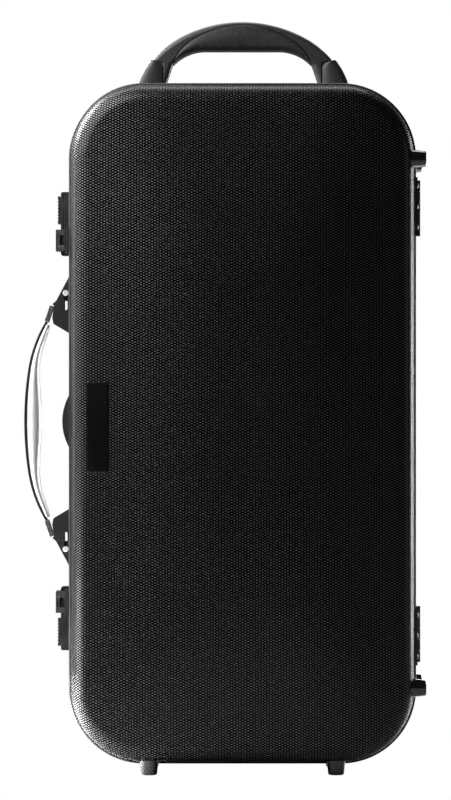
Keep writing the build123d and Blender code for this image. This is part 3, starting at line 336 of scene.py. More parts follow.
shell_back = shell_lip + shell_wall
rim_profile = [(0, parting), (0, rim_height - rim_round), (rim_corner, rim_height - rim_corner)]
rim_profile += [(rim_round, rim_height), (shell_lip, rim_height), (shell_lip, channel_floor)]
rim_profile += [(shell_back, channel_floor), (shell_back, rim_height), (rim_width, rim_height), (rim_width, parting)]
tongue = [(tongue_inner, parting), (tongue_inner, tongue_top), (tongue_outer, tongue_top), (tongue_outer, parting)]
groove = [(groove_inner, parting), (groove_inner, groove_floor), (groove_outer, groove_floor), (groove_outer, parting)]
rim_ease = [0.7, 0.6, 0.6, 0.6, 0.15] + [0.2] * 3 + [0.6, 0.5] + [0.3] * 4
rim_plastic = satin_moulding(
    "rim_plastic", (0.016, 0.016, 0.017), (0.026, 0.026, 0.027), 0.30, 0.40, 0.0011, 0.00003, 0.4
)
for half, side, middle in (("lid", lid_side, groove), ("base", base_side, tongue)):
    band = case_band(f"{half}_rim_band", side, eased(rim_profile + middle, rim_ease))
    finish(band, rim_plastic, half, "rim", f"{half}_rim")

# The seal. One bead of soft black rubber, pressed into the bottom of the groove in the lid's rim, where it
# takes the tongue of the base's rim when the case is shut.
seal_top, seal_side, seal_shoulder = 2.7, 3.1, 0.9
seal_profile = [(groove_outer, groove_floor), (groove_outer, seal_side), (groove_outer + seal_shoulder, seal_top)]
seal_profile += [(groove_inner - seal_shoulder, seal_top), (groove_inner, seal_side), (groove_inner, groove_floor)]
seal_rubber = satin_moulding("seal_rubber", (0.008, 0.008, 0.008), (0.014, 0.014, 0.014), 0.6, 0.75, 0.0008, 0.00003)
finish(case_band("seal_bead", lid_side, eased(seal_profile, 0.5)), seal_rubber, "lid", "seal", "rim_seal")

# The hinges. At each place a pressed leaf with rolled knuckles on either half, lacquered black and riveted
# through the rim. The rivets are blackened steel and the pins bright steel.
leaf_ease = 0.18


def made_piece(node, ease, material, slot):
    """A pressed, cast or moulded piece with its edges eased: a copy of the solid's faces, merged and bevelled."""
    mesh = frame["nodes"][node].data.copy()
    work = bmesh.new()
    work.from_mesh(mesh)
    bmesh.ops.remove_doubles(work, verts=work.verts, dist=merged_within)
    bmesh.ops.dissolve_limit(work, angle_limit=np.radians(0.6), verts=work.verts, edges=work.edges)
    work.to_mesh(mesh)
    work.free()
    mesh.shade_smooth()
    mesh.set_sharp_from_angle(angle=sharp_angle)
    piece = bpy.data.objects.new(node + "_made", mesh)
    bpy.context.scene.collection.objects.link(piece)
    edge = piece.modifiers.new("eased edges", "BEVEL")
    edge.width = ease * mm
    edge.segments = 2
    edge.limit_method = "ANGLE"
    edge.angle_limit = sharp_angle
    edge.harden_normals = True
    return finish(piece, material, frame["nodes"][node]["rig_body"], slot, node)


def lacquered_metal(name, dark, light, roughness, worn):
    """Lacquer or plating on metal, under a thin clear coat: fine noise gives a slight orange peel, and slower noise
    takes its colour from dark to light and adds up to worn to its roughness."""
    material, tree, shader = start_finish(name, Coat_Weight=0.35, Coat_Roughness=0.25)
    at = tree.nodes.new("ShaderNodeTexCoord").outputs["Object"]
    peel = add_node(tree, "TexNoise", {"Vector": at, "Scale": 420.0, "Detail": 2.0})
    cloud = add_node(tree, "TexNoise", {"Vector": at, "Scale": 60.0, "Detail": 5.0, "Roughness": 0.6})
    tree.links.new(tint(tree, spread(tree, cloud, 0.35, 0.7, 0.0, 1.0), dark, light), shader.inputs["Base Color"])
    tree.links.new(spread(tree, cloud, 0.3, 0.7, roughness, roughness + worn), shader.inputs["Roughness"])
    bump = add_node(tree, "Bump", {"Strength": 0.35, "Distance": 0.00004, "Height": peel})
    tree.links.new(bump, shader.inputs["Normal"])
    return material


def turned_steel(name, dark, light, low, high):
    """Bare or blackened steel: noise squeezed into fine level lines, as a tool leaves them, takes its colour from
    dark to light and its roughness from low to high."""
    material, tree, shader = start_finish(name, Metallic=1.0)
    at = tree.nodes.new("ShaderNodeTexCoord").outputs["Object"]
    drawn = add_node(tree, "Mapping", {"Vector": at, "Scale": (900.0, 900.0, 5000.0)})
    lines = add_node(tree, "TexNoise", {"Vector": drawn, "Scale": 1.0, "Detail": 3.0})
    tree.links.new(tint(tree, spread(tree, lines, 0.3, 0.7, 0.0, 1.0), dark, light), shader.inputs["Base Color"])
    tree.links.new(spread(tree, lines, 0.25, 0.75, low, high), shader.inputs["Roughness"])
    bump = add_node(tree, "Bump", {"Strength": 0.2, "Distance": 0.00002, "Height": lines})
    tree.links.new(bump, shader.inputs["Normal"])
    return material


def refinish(material, slot, *nodes):
    """Gives CAD nodes whose shape is right their material. The slot is not used."""
    for node in nodes:
        piece = frame["nodes"][node]
        piece.data.materials.clear()
        piece.data.materials.append(material)


hinge_lacquer = lacquered_metal("hinge_lacquer", (0.009, 0.009, 0.009), (0.016, 0.016, 0.016), 0.32, 0.12)
blackened_steel = turned_steel("blackened_steel", (0.05, 0.05, 0.052), (0.10, 0.10, 0.105), 0.30, 0.45)
bright_steel = turned_steel("bright_steel", (0.48, 0.48, 0.49), (0.66, 0.66, 0.67), 0.20, 0.34)
for place in ("upper", "lower"):
    for half in ("base", "lid"):
        made_piece(f"hinge_{half}_leaf_{place}", leaf_ease, hinge_lacquer, "hinge")
refinish(blackened_steel, "rivet", "hinge_base_rivets", "hinge_lid_rivets")
refinish(bright_steel, "steel", "hinge_pins")

# The latches. Each has a grooved and lacquered housing riveted to the base's rim, a ribbed plastic slide plate
# on it, a lacquered flap that turns on a steel pin, painted paler than the housing as painted light for its
# forward face, and a keeper riveted to the lid's rim, whose post stands between the flap's two legs.
latch_ease, keeper_ease, slide_ease = 0.35, 0.30, 0.16
latch_lacquer = lacquered_metal("latch_lacquer", (0.016, 0.016, 0.017), (0.027, 0.027, 0.028), 0.30, 0.12)
# The flap's lacquer is the housing's made paler: painted light standing for the light that the flap's forward face
# catches.
flap_painted_light_lacquer = lacquered_metal("flap_painted_light_lacquer", (0.035, 0.035, 0.036), (0.052, 0.052, 0.054), 0.34, 0.12)
slide_plastic = satin_moulding(
    "slide_plastic", (0.012, 0.012, 0.012), (0.022, 0.022, 0.023), 0.30, 0.42, 0.0009, 0.00005
)
for place in ("upper", "lower"):
    made_piece(f"latch_housing_{place}", latch_ease, latch_lacquer, "latch")
    made_piece(f"latch_flap_{place}", latch_ease, flap_painted_light_lacquer, "latch")
    made_piece(f"latch_keeper_{place}", keeper_ease, latch_lacquer, "latch")
    made_piece(f"latch_slide_{place}", slide_ease, slide_plastic, "slide")
refinish(blackened_steel, "rivet", "latch_rivets", "keeper_rivets")
refinish(bright_steel, "steel", "latch_flap_pins")

# The lock. A low lacquered dome with fine grooves along it, half riveted to the base's rim and half to the
# lid's as the striker. A steel key cylinder turns in the base's half.
dome_ease, cylinder_ease = 0.25, 0.12
made_piece("lock_housing", dome_ease, latch_lacquer, "latch")
made_piece("lock_striker", dome_ease, latch_lacquer, "latch")
made_piece("lock_cylinder", cylinder_ease, bright_steel, "steel")
refinish(blackened_steel, "rivet", "lock_housing_rivets", "lock_striker_rivets")

# The side handle's brackets. Black mouldings with two cheeks and a slot for the handle's pin, screwed through
# the base shell into backing plates.
bracket_ease = 0.45
bracket_plastic = satin_moulding(
    "bracket_plastic", (0.012, 0.012, 0.013), (0.024, 0.024, 0.025), 0.30, 0.42, 0.0010, 0.00005
)
for place in ("upper", "lower"):
    made_piece(f"side_handle_bracket_{place}", bracket_ease, bracket_plastic, "bracket")
refinish(bright_steel, "steel", "side_handle_screws", "side_handle_backing_plates")

# The side handle. A sprung black strap bows out from bracket to bracket. A satin silver grip is moulded on
# its inner face, and steel ferrules join its ends to tongues, whose loops go round cross pins in the slots.
case_left_x = case_middle_x - case_half_width
handle_line = 30.0
side_middle_z = case_middle_z + 2.0
strap_apex = 44.3
strap_bow_radius = 330.0
strap_bow_half = 50.0
strap_end = np.array((23.4, 97.5))
ferrule_end = np.array((18.1, 113.0))
strap_half_thickness = 1.0
strap_half_width = 8.0
strap_corner, strap_corner_points = 0.6, 4
strap_rows = 181
grip_half_length = 94
grip_sunk = 1.7
fitting_ease = 0.25
silver_dark, silver_light = (0.60, 0.60, 0.61), (0.74, 0.74, 0.75)


def even_points(line, count):
    """Evenly spaced points along a line of points."""
    length = np.concatenate(([0], np.cumsum(np.linalg.norm(np.diff(line, axis=0), axis=1))))
    even = np.linspace(0, length[-1], count)
    return np.stack([np.interp(even, length, line[:, axis]) for axis in (0, 1)], axis=1)


def strap_line(count):
    """The strap's middle line as distances out from the rim and along it: a wide bow, a tighter one that carries
    on from its end, and a straight end. Gives evenly spaced points."""
    angle = np.arcsin(strap_bow_half / strap_bow_radius)
    turn = np.linspace(0, angle, 60)
    centre = np.array((strap_apex - strap_bow_radius, 0))
    bow = centre + strap_bow_radius * np.stack((np.cos(turn), np.sin(turn)), axis=1)
    inward = -np.array((np.cos(angle), np.sin(angle)))
    chord = strap_end - bow[-1]
    radius = chord @ chord / (2 * inward @ chord)
    centre = bow[-1] + inward * radius
    last = np.arctan2(*(strap_end - centre)[::-1])
    turn = np.linspace(angle, last, 60)[1:]
    shoulder = centre + radius * np.stack((np.cos(turn), np.sin(turn)), axis=1)
    straight = strap_end + (ferrule_end - strap_end) * np.linspace(0, 1, 20)[1:, None]
    half = np.concatenate((bow, shoulder, straight))
    return even_points(np.concatenate((half[:0:-1] * (1, -1), half)), count)


def beside(out, across, along):
    """Points by the left side in metres, from their distances out from the rim, across the case and along it."""
    out, across, along = np.broadcast_arrays(out, across, along)
    return np.stack((case_left_x - out, handle_line + across, side_middle_z + along), axis=-1) * mm


def rounded_section(half_high, half_wide, radius, steps):
    """A rectangle with round corners of some points each, for one size or for a column of sizes."""
    sizes = [np.atleast_1d(np.array(size, float)) for size in (half_high, half_wide, radius)]
    high, wide, radius = np.broadcast_arrays(*sizes)
    parts = []
    for index, (sign_high, sign_wide) in enumerate(((1, 1), (-1, 1), (-1, -1), (1, -1))):
        angle = (np.linspace(0, np.pi / 2, steps) + index * np.pi / 2)[None, :]
        one = sign_high * (high - radius)[:, None] + radius[:, None] * np.cos(angle)
        two = sign_wide * (wide - radius)[:, None] + radius[:, None] * np.sin(angle)
        parts.append(np.stack((one, two), axis=-1))
    return np.concatenate(parts, axis=1)


def closed_ends(grid):
    """The same grid with both ends drawn together to a point, through one edge and one inner row."""
    def drawn_in(row):
        middle = row.mean(axis=0, keepdims=True)
        return [middle + (row - middle) * share for share in (0.0, 0.5, 0.97)]
    first, last = drawn_in(grid[0]), drawn_in(grid[-1])
    return np.concatenate((np.stack(first), grid, np.stack(last[::-1])), axis=0)


def along_strap(line, section):
    """A closed section carried along a line beside the case, its first size pointing away from the rim."""
    run = np.gradient(line, axis=0)
    run /= np.linalg.norm(run, axis=1)[:, None]
    out = line[:, None, 0] + section[..., 0] * run[:, None, 1]
    along = line[:, None, 1] - section[..., 0] * run[:, None, 0]
    return closed_ends(beside(out, section[..., 1], along))


strap = strap_line(strap_rows)
strap_section = rounded_section(strap_half_thickness, strap_half_width, strap_corner, strap_corner_points)
strap_plastic = satin_moulding(
    "strap_plastic", (0.008, 0.008, 0.008), (0.015, 0.015, 0.015), 0.26, 0.36, 0.0008, 0.00003
)
strap_piece = surface("strap_band", [along_strap(strap, strap_section)], around=False, across=True)
finish(strap_piece, strap_plastic, "side_handle", "strap", "side_handle_strap")


def strap_face(along):
    """How far the strap's outer face stands from the rim, at distances along it."""
    half = strap[strap_rows // 2:]
    return np.interp(np.abs(along), half[:, 1], half[:, 0]) + strap_half_thickness


grip_places = np.array((0.0, 31.0, 50.0, 60.0, 71.0, 84.0, 94.0))
grip_inner = np.polyfit(grip_places**2, (28.3, 29.3, 30.2, 29.6, 26.9, 22.9, 20.6), 4)
grip_half_wide = np.polyfit(grip_places**2, (13.0, 13.0, 12.6, 12.2, 11.4, 10.4, 9.4), 3)
along = np.linspace(-grip_half_length, grip_half_length, 121)[:, None]
outer, inner = strap_face(along) - grip_sunk, np.polyval(grip_inner, along**2)
turn = np.linspace(0, 2 * np.pi, 57)[None, :-1]
grip_out = (outer + inner) / 2 + (outer - inner) / 2 * np.cos(turn)
grip_grid = beside(grip_out, np.polyval(grip_half_wide, along**2) * np.sin(turn), along)
material, tree, shader = start_finish("silver_grip", Metallic=0.35)
at = tree.nodes.new("ShaderNodeTexCoord").outputs["Object"]
flake = add_node(tree, "TexNoise", {"Vector": at, "Scale": 2200.0, "Detail": 2.0})
cloud = add_node(tree, "TexNoise", {"Vector": at, "Scale": 30.0, "Detail": 3.0})
silver = tint(tree, spread(tree, flake, 0.3, 0.7, 0.0, 1.0), silver_dark, silver_light)
tree.links.new(silver, shader.inputs["Base Color"])
tree.links.new(spread(tree, cloud, 0.3, 0.7, 0.38, 0.46), shader.inputs["Roughness"])
bump = add_node(tree, "Bump", {"Strength": 0.25, "Distance": 0.00003, "Height": flake})
tree.links.new(bump, shader.inputs["Normal"])
grip_piece = surface("silver_grip", [closed_ends(grip_grid)], around=False, across=True)
finish(grip_piece, material, "side_handle", "silver", "side_handle_grip")
made_piece("side_handle_ferrules", fitting_ease, bright_steel, "steel")
for place in ("upper", "lower"):
    made_piece(f"side_handle_tongue_{place}", fitting_ease, strap_plastic, "strap")
pin_nickel = lacquered_metal("pin_nickel", (0.55, 0.55, 0.56), (0.68, 0.68, 0.69), 0.30, 0.10)
refinish(pin_nickel, "steel", "side_handle_pin_upper", "side_handle_pin_lower")

# The top handle. One moulded bow, screwed up through the shell, with rounded edges and a shallow seat in
# which the soft grip insert lies. Two caps close its feet over the screws.
handle_foot = -5.0
handle_half_width = 12.0
handle_edge = 5.0
crown_height = 63.0
bow_radius = 129.0
bow_half = 56.0
span_half = 103.4
shoulder_end = 1.0
under_height = 34.8
under_half = 36.0
arm_top = np.array((68.2, 20.5))
arm_foot = np.array((78.0, -8.0))
bow_rows = 170
bow_columns = 180
insert_half = 67.7
insert_foot = 20.6
insert_rise = 40.0
insert_power = 1.78
seat_depth = 0.9
seat_ramp = 0.7
insert_gap = 0.55
insert_proud = 0.25
insert_swell = 1.8
full_flank = 12.0
edge_power = 40
cap_inner = 78.4
cap_top = 22.2
cap_slope = 0.27
cap_corner = 5.0
cap_proud = 0.6
cap_swell = 2.5
cap_rows = 9
cap_corner_points = 8
cap_top_ease = np.array((0.3, 1.0, 4.0))
seam_reach = 1.3
seam_ramp = 0.9


def bow_shoulder():
    """The centre and radius of the arc that carries the bow's outer line down to its foot."""
    bow_centre = np.array((0, crown_height - bow_radius))
    start = np.array((bow_half, bow_centre[1] + np.sqrt(bow_radius**2 - bow_half**2)))
    inward = (bow_centre - start) / bow_radius
    chord = np.array((span_half, shoulder_end)) - start
    radius = chord @ chord / (2 * inward @ chord)
    return start, start + inward * radius, radius


def bow_outline(count):
    """The outer and the inner line of the bow from its middle to its right foot, in matching points: an arc, a
    tighter arc and a straight foot outside; a flat, an arc and a leaning straight inside."""
    start, centre, radius = bow_shoulder()
    turn = np.linspace(0, np.arcsin(bow_half / bow_radius), 80)
    bow = np.stack((bow_radius * np.sin(turn), crown_height - bow_radius + bow_radius * np.cos(turn)), axis=1)
    first = np.arctan2(*(start - centre)[::-1])
    last = np.arctan2(*(np.array((span_half, shoulder_end)) - centre)[::-1])
    turn = np.linspace(first, last, 60)[1:]
    shoulder = centre + radius * np.stack((np.cos(turn), np.sin(turn)), axis=1)
    outer = np.concatenate((bow, shoulder, [(span_half, handle_foot)]))
    drop = under_height - arm_top[1]
    bend = ((arm_top[0] - under_half) ** 2 + drop**2) / (2 * drop)
    turn = np.linspace(0, np.arcsin((arm_top[0] - under_half) / bend), 40)
    curve = np.stack((under_half + bend * np.sin(turn), under_height - bend + bend * np.cos(turn)), axis=1)
    share = (arm_top[1] - handle_foot) / (arm_top[1] - arm_foot[1])
    inner = np.concatenate(([(0, under_height)], curve, [arm_top + (arm_foot - arm_top) * share]))
    return even_points(outer, count), even_points(inner, count)


def on_top(across, proud, up):
    """Points of the top handle in metres: across the case, out of its middle plane and up from its top rim."""
    across, proud, up = np.broadcast_arrays(across, proud, up)
    place = (case_middle_x + across, handle_line + proud, case_middle_z + case_half_length + up)
    return np.stack(place, axis=-1) * mm


def insert_edge(outer, inner):
    """How much of each section, measured from the inner line, belongs to the soft insert. It covers what lies
    where (x / insert_half)^p + (height over insert_foot / insert_rise)^p is under 1, with insert_power for p.
    Found by halving."""
    low, high = np.zeros(len(outer)), np.ones(len(outer))
    for _ in range(30):
        half = (low + high) / 2
        point = inner + (outer - inner) * half[:, None]
        risen = np.clip((point[:, 1] - insert_foot) / insert_rise, 0, None)
        oval = np.abs(point[:, 0] / insert_half) ** insert_power + risen**insert_power
        low, high = np.where(oval < 1, half, low), np.where(oval < 1, high, half)
    return low * np.linalg.norm(outer - inner, axis=1)


def round_section(length, high):
    """A point on the bow's section, by the distance walked from the middle of its inner side: across that side,
    round the corner, up the flank, round the outer corner. Gives its height, its width and its outward direction."""
    flat = handle_half_width - handle_edge
    bend = handle_edge * np.pi / 2
    walked, sign = np.abs(length), np.sign(length)
    angle = np.clip((walked - flat) / handle_edge, 0, np.pi / 2)
    flank = np.clip(walked - flat - bend, 0, high - 2 * handle_edge)
    upper = np.clip((walked - flat - bend - (high - 2 * handle_edge)) / handle_edge, 0, np.pi / 2)
    last = np.clip(walked - flat - 2 * bend - (high - 2 * handle_edge), 0, flat)
    height = handle_edge * (1 - np.cos(angle)) + flank + handle_edge * np.sin(upper)
    width = np.minimum(walked, flat) + handle_edge * np.sin(angle) - handle_edge * (1 - np.cos(upper)) - last
    normal_high = -np.cos(angle) + np.sin(upper)
    normal_wide = np.sin(angle) * np.cos(upper)
    return height, sign * width, normal_high, sign * normal_wide


half_outer, half_inner = bow_outline(bow_rows)
bow_outer = np.concatenate((half_outer[:0:-1] * (-1, 1), half_outer))
bow_inner = np.concatenate((half_inner[:0:-1] * (-1, 1), half_inner))
section_high = np.linalg.norm(bow_outer - bow_inner, axis=1)
upward = (bow_outer - bow_inner) / section_high[:, None]
edge_height = insert_edge(bow_outer, bow_inner)
flat_walk = handle_half_width - handle_edge
corner_walk = handle_edge * np.arccos(np.clip(1 - edge_height / handle_edge, 0, 1))
edge_walk = flat_walk + corner_walk + np.clip(edge_height - handle_edge, 0, None)
edge_walk = np.where(edge_height > 0.02, edge_walk, 0)


def bow_points(rows, walked, lift):
    """Points of the bow for some of its sections, walked distances round each and a lift off its surface."""
    high, wide, normal_high, normal_wide = round_section(walked, section_high[rows, None])
    reach = high + lift * normal_high
    across = bow_inner[rows, 0, None] + upward[rows, 0, None] * reach
    up = bow_inner[rows, 1, None] + upward[rows, 1, None] * reach
    return on_top(across, wide + lift * normal_wide, up)


rows = np.arange(len(bow_outer))
half_walk = 2 * flat_walk + handle_edge * np.pi + section_high - 2 * handle_edge
walked = half_walk[:, None] * np.linspace(-1, 1, bow_columns)[None, :-1]
seat = np.clip((edge_walk[:, None] - np.abs(walked)) / seat_ramp, 0, 1)
on_skin = bow_points(rows, walked, 0) / mm
past_cap = np.abs(on_skin[..., 0] - case_middle_x) - cap_inner
beyond_side = np.clip((past_cap + seam_reach) / seam_ramp, 0, 1)
cap_edge = case_middle_z + case_half_length + cap_top + cap_slope * past_cap
below_top = np.clip((cap_edge + seam_reach - on_skin[..., 2]) / seam_ramp, 0, 1)
seam = np.minimum(beyond_side, below_top)
bow_grid = bow_points(rows, walked, -seat_depth * seat - seam_reach * seam)
handle_plastic = satin_moulding(
    "handle_plastic", (0.020, 0.020, 0.021), (0.040, 0.040, 0.042), 0.36, 0.48, 0.0016, 0.00012
)
bow_piece = surface("handle_bow", [closed_ends(bow_grid)], around=False, across=True)
finish(bow_piece, handle_plastic, "base", "handle", "top_handle_body")

rows = np.flatnonzero(edge_walk > 1.0)
share = np.sin(np.linspace(-1, 1, 91) * np.pi / 2)[None, :]
walked = (edge_walk[rows, None] - insert_gap) * share
flank_start = flat_walk + handle_edge * np.pi / 4
flank_long = np.maximum(edge_walk[rows, None] - flank_start, 1.0)
up_flank = np.clip((np.abs(walked) - flank_start) / flank_long, 0, 1)
swell = insert_swell * np.clip(flank_long / full_flank, 0, 1) * np.sin(np.pi * up_flank)
lift = insert_proud + swell - seat_depth * np.abs(share) ** edge_power
skin_grid = bow_points(rows, walked, lift)
soft_rubber = satin_moulding("soft_rubber", (0.006, 0.006, 0.006), (0.030, 0.030, 0.031), 0.48, 0.64, 0.0022, 0.00020)
insert_piece = surface("handle_insert", [skin_grid], around=False)
finish(insert_piece, soft_rubber, "base", "soft", "top_handle_grip")


def end_cap(sign):
    """One cap: level sections between its inner face and just outside the bow's outer line, with the upper inner
    corner rounded in front view, closed at the top through an eased edge. Its broad faces have rows of points of
    their own and swell by cap_swell (1 - s²), where s is the share of the way from the middle to either side."""
    _, centre, radius = bow_shoulder()
    straight = np.linspace(handle_foot, cap_top - cap_corner, cap_rows)[:-1]
    rounded = cap_top - cap_corner * (1 - np.sin(np.linspace(0, np.pi / 2, 12)[:-1]))
    up = np.concatenate((straight, rounded))
    inner = cap_inner + cap_corner - np.sqrt(cap_corner**2 - np.clip(up - cap_top + cap_corner, 0, None) ** 2)
    outer = centre[0] + np.sqrt(radius**2 - (np.maximum(up, shoulder_end) - centre[1]) ** 2) + cap_proud
    inner = np.concatenate((inner, inner[-1:] + cap_top_ease))
    outer = np.concatenate((outer, outer[-1:] - cap_top_ease))
    up = np.concatenate((up, (cap_top - 0.1, cap_top, cap_top)))
    wide = np.full(len(up), handle_half_width + cap_proud)
    wide[-3:] -= (0.3, 1.0, 5.0)
    radius = np.minimum(handle_edge + cap_proud, (outer - inner) / 2 * 0.98)
    radius = np.minimum(radius, wide * 0.98)
    section = rounded_section((outer - inner) / 2, wide, radius, cap_corner_points)
    inside = section[..., 0] < 0
    section[..., 1] = np.where(inside, np.sign(section[..., 1]) * wide[:, None], section[..., 1])
    part = np.linspace(0, 1, 9)[None, 1:-1, None]
    one, two = cap_corner_points, 3 * cap_corner_points
    front, back = [section[:, [at - 1]] * (1 - part) + section[:, [at]] * part for at in (one, two)]
    section = np.concatenate((section[:, :one], front, section[:, one:two], back, section[:, two:]), axis=1)
    share = section[..., 0] / ((outer - inner) / 2)[:, None]
    section[..., 1] += np.sign(section[..., 1]) * cap_swell * (1 - share**2)
    across = ((outer + inner) / 2)[:, None] + section[..., 0]
    lean = np.clip((up - handle_foot) / (cap_top - handle_foot), 0, 1)[:, None] * cap_slope
    up = up[:, None] + lean * (across - cap_inner)
    return closed_ends(on_top(sign * across, section[..., 1], up))


cap_plastic = satin_moulding(
    "cap_plastic", (0.026, 0.026, 0.027), (0.040, 0.040, 0.041), 0.36, 0.44, 0.0012, 0.00003, 0.4
)
caps = surface("handle_caps", [end_cap(1), end_cap(-1)], around=False, across=True)
finish(caps, cap_plastic, "base", "cap", "top_handle_end_caps")
refinish(bright_steel, "steel", "top_handle_screws", "top_handle_backing_plates")

# The feet. Round black mouldings with a polished skin, a rounded rim and a sunk screw, two on each half's
# hinge side and two under each half.
foot_height = 13.0
foot_root = -4.0
foot_line = 38.0
foot_set_back = 4.7013
root_radius, flange_radius, tip_radius, hole_radius = 9.2, 8.9, 7.5, 3.7
hole_floor = 9.0
foot_profile = [(0, foot_root), (root_radius, foot_root), (flange_radius, 0), (tip_radius, foot_height)]
foot_profile += [(hole_radius, foot_height), (hole_radius, hole_floor), (0, hole_floor)]
foot_ease = [0.0, 0.0, 0.1, 1.6, 0.5, 0.3, 0.0]
foot_ease_steps = 5
side_foot_offset = 254.7
bottom_foot_offset = 90.0
case_right_x = case_middle_x + case_half_width


def turned_foot(middle, along, beside_it, third):
    """A profile of radii and heights turned about an axis. The eased curve of its last corner, on the axis, is
    left out, and both ends of the rest are set on the axis."""
    profile = eased(foot_profile, foot_ease, foot_ease_steps)[:-foot_ease_steps - 1]
    profile[0, 0] = profile[-1, 0] = 0
    turn = np.linspace(0, 2 * np.pi, 49)[:-1, None, None]
    radius, high = profile[None, :, :1], profile[None, :, 1:]
    round_axis = radius * (np.cos(turn) * np.array(beside_it) + np.sin(turn) * np.array(third))
    return (np.array(middle) + round_axis + high * np.array(along)) * mm


foot_gloss = satin_moulding(
    "foot_gloss", (0.004, 0.004, 0.004), (0.007, 0.007, 0.007), 0.08, 0.13, 0.0010, 0.00001, 1.0
)
for side, half in ((base_side, "base"), (lid_side, "lid")):
    beside_case = case_right_x - foot_set_back
    places = [(beside_case, side * foot_line, case_middle_z + end * side_foot_offset) for end in (1, -1)]
    feet = surface(f"{half}_side_pair", [turned_foot(place, (1, 0, 0), (0, 1, 0), (0, 0, 1)) for place in places])
    finish(feet, foot_gloss, half, "foot", f"{half}_side_feet")
    below_case = case_middle_z - case_half_length + foot_set_back
    places = [(case_middle_x + end * bottom_foot_offset, side * foot_line, below_case) for end in (1, -1)]
    feet = surface(f"{half}_bottom_pair", [turned_foot(place, (0, 0, -1), (1, 0, 0), (0, 1, 0)) for place in places])
    finish(feet, foot_gloss, half, "foot", f"{half}_bottom_feet")
refinish(blackened_steel, "rivet", "base_foot_screws", "lid_foot_screws")

# The plate on the lid. A thin plate of black plastic with a smooth glossy face and eased edges, stuck on the
# lid's left flank. It is left bare.
badge_ease = 0.15
badge_gloss = satin_moulding(
    "badge_gloss", (0.003, 0.003, 0.003), (0.005, 0.005, 0.005), 0.16, 0.22, 0.004, 0.000004, 0.2
)
made_piece("badge_plate", badge_ease, badge_gloss, "badge")

# The linings. Dark grey plush over foam: a block with a pocket for each joint of the bassoon in the base, and
# a pad in the lid. The foam fills the cover, so its faces swell a little and its edges are round.
plush_dark, plush_light = (0.030, 0.030, 0.033), (0.066, 0.066, 0.072)
cover_voxel = 0.006
foam_pressure = 4.0
filling_steps = 12
most_swell = 0.0018


def plush():
    """Short-pile plush: fine noise raises the pile, and its product with slower noise, the lie of the nap, takes
    the colour from dark to light. A sheen catches light from the side."""
    material, tree, shader = start_finish("plush", Sheen_Weight=0.55, Sheen_Roughness=0.45, Roughness=0.92)
    at = tree.nodes.new("ShaderNodeTexCoord").outputs["Object"]
    pile = add_node(tree, "TexNoise", {"Vector": at, "Scale": 900.0, "Detail": 4.0, "Roughness": 0.7})
    nap = add_node(tree, "TexNoise", {"Vector": at, "Scale": 28.0, "Detail": 5.0, "Distortion": 0.6})
    clump = add_node(tree, "Math", {0: pile, 1: nap}, operation="MULTIPLY")
    colour = tint(tree, spread(tree, clump, 0.12, 0.42, 0.0, 1.0), plush_dark, plush_light)
    tree.links.new(colour, shader.inputs["Base Color"])
    bump = add_node(tree, "Bump", {"Strength": 0.8, "Distance": 0.0006, "Height": pile})
    tree.links.new(bump, shader.inputs["Normal"])
    return material


def filled_lining(node, name):
    """A cover swollen by its foam: the solid's faces are remeshed as cloth and pushed out by pressure, each point
    by at most most_swell. Then a modifier smooths them."""
    piece = bpy.data.objects.new(name, frame["nodes"][node].data.copy())
    bpy.context.scene.collection.objects.link(piece)
    work = bmesh.new()
    work.from_mesh(piece.data)
    bmesh.ops.remove_doubles(work, verts=work.verts, dist=merged_within)
    work.to_mesh(piece.data)
    work.free()
    bpy.context.view_layer.objects.active = piece
    remesh = piece.modifiers.new("cover", "REMESH")
    remesh.mode = "VOXEL"
    remesh.voxel_size = cover_voxel
    bpy.ops.object.modifier_apply(modifier="cover")
    rest = np.zeros(len(piece.data.vertices) * 3)
    piece.data.vertices.foreach_get("co", rest)
    rest = rest.reshape(-1, 3)
    cloth = piece.modifiers.new("filling", "CLOTH")
    cloth.settings.use_pressure = True
    cloth.settings.uniform_pressure_force = foam_pressure
    cloth.settings.effector_weights.gravity = 0.0
    cloth.settings.quality = 4
    for step in range(1, filling_steps + 1):
        bpy.context.scene.frame_set(step)
    bpy.ops.object.modifier_apply(modifier="filling")
    bpy.context.scene.frame_set(1)
    swollen = np.zeros(len(rest) * 3)
    piece.data.vertices.foreach_get("co", swollen)
    move = swollen.reshape(-1, 3) - rest
    far = np.linalg.norm(move, axis=1)[:, None]
    moved = rest + move * np.minimum(1, most_swell / np.maximum(far, 1e-9))
    piece.data.vertices.foreach_set("co", moved.ravel())
    soften = piece.modifiers.new("soft edges", "SMOOTH")
    soften.iterations = 2
    piece.data.shade_smooth()
    return piece


plush_cloth = plush()
for node, name, body in (("base_lining", "base_plush", "base"), ("lid_lining", "lid_plush", "lid")):
    lining = finish(filled_lining(node, name), plush_cloth, body, "plush", node)

# The floor and the light: a plain pale floor and soft lights. The large ones stand to the left. Small ones
# draw the bright crescents of the left corners and the thin bright line of the right edge. The camera sees
# floor and surround pure white. What they throw on the case is much less, as on a backdrop that is far away.
floor_radius = 14.0
surround_strength = 0.03
material, tree, shader = start_finish("pale_floor", Base_Color=(0.35, 0.35, 0.35, 1))
at = tree.nodes.new("ShaderNodeTexCoord").outputs["Object"]
speckle = add_node(tree, "TexNoise", {"Vector": at, "Scale": 5.0, "Detail": 4.0})
tree.links.new(spread(tree, speckle, 0.3, 0.7, 0.55, 0.65), shader.inputs["Roughness"])
turn = np.linspace(0, 2 * np.pi, 97)[:-1, None]
reach = np.linspace(0, floor_radius, 15)[None, :]
floor_grid = np.stack((reach * np.cos(turn), reach * np.sin(turn), 0 * reach * turn), axis=-1)
glow = add_node(tree, "Emission", {"Color": (1, 1, 1, 1), "Strength": 1.0})
ray = tree.nodes.new("ShaderNodeLightPath").outputs["Is Camera Ray"]
mixed = add_node(tree, "MixShader", {0: ray, 1: shader.outputs[0], 2: glow})
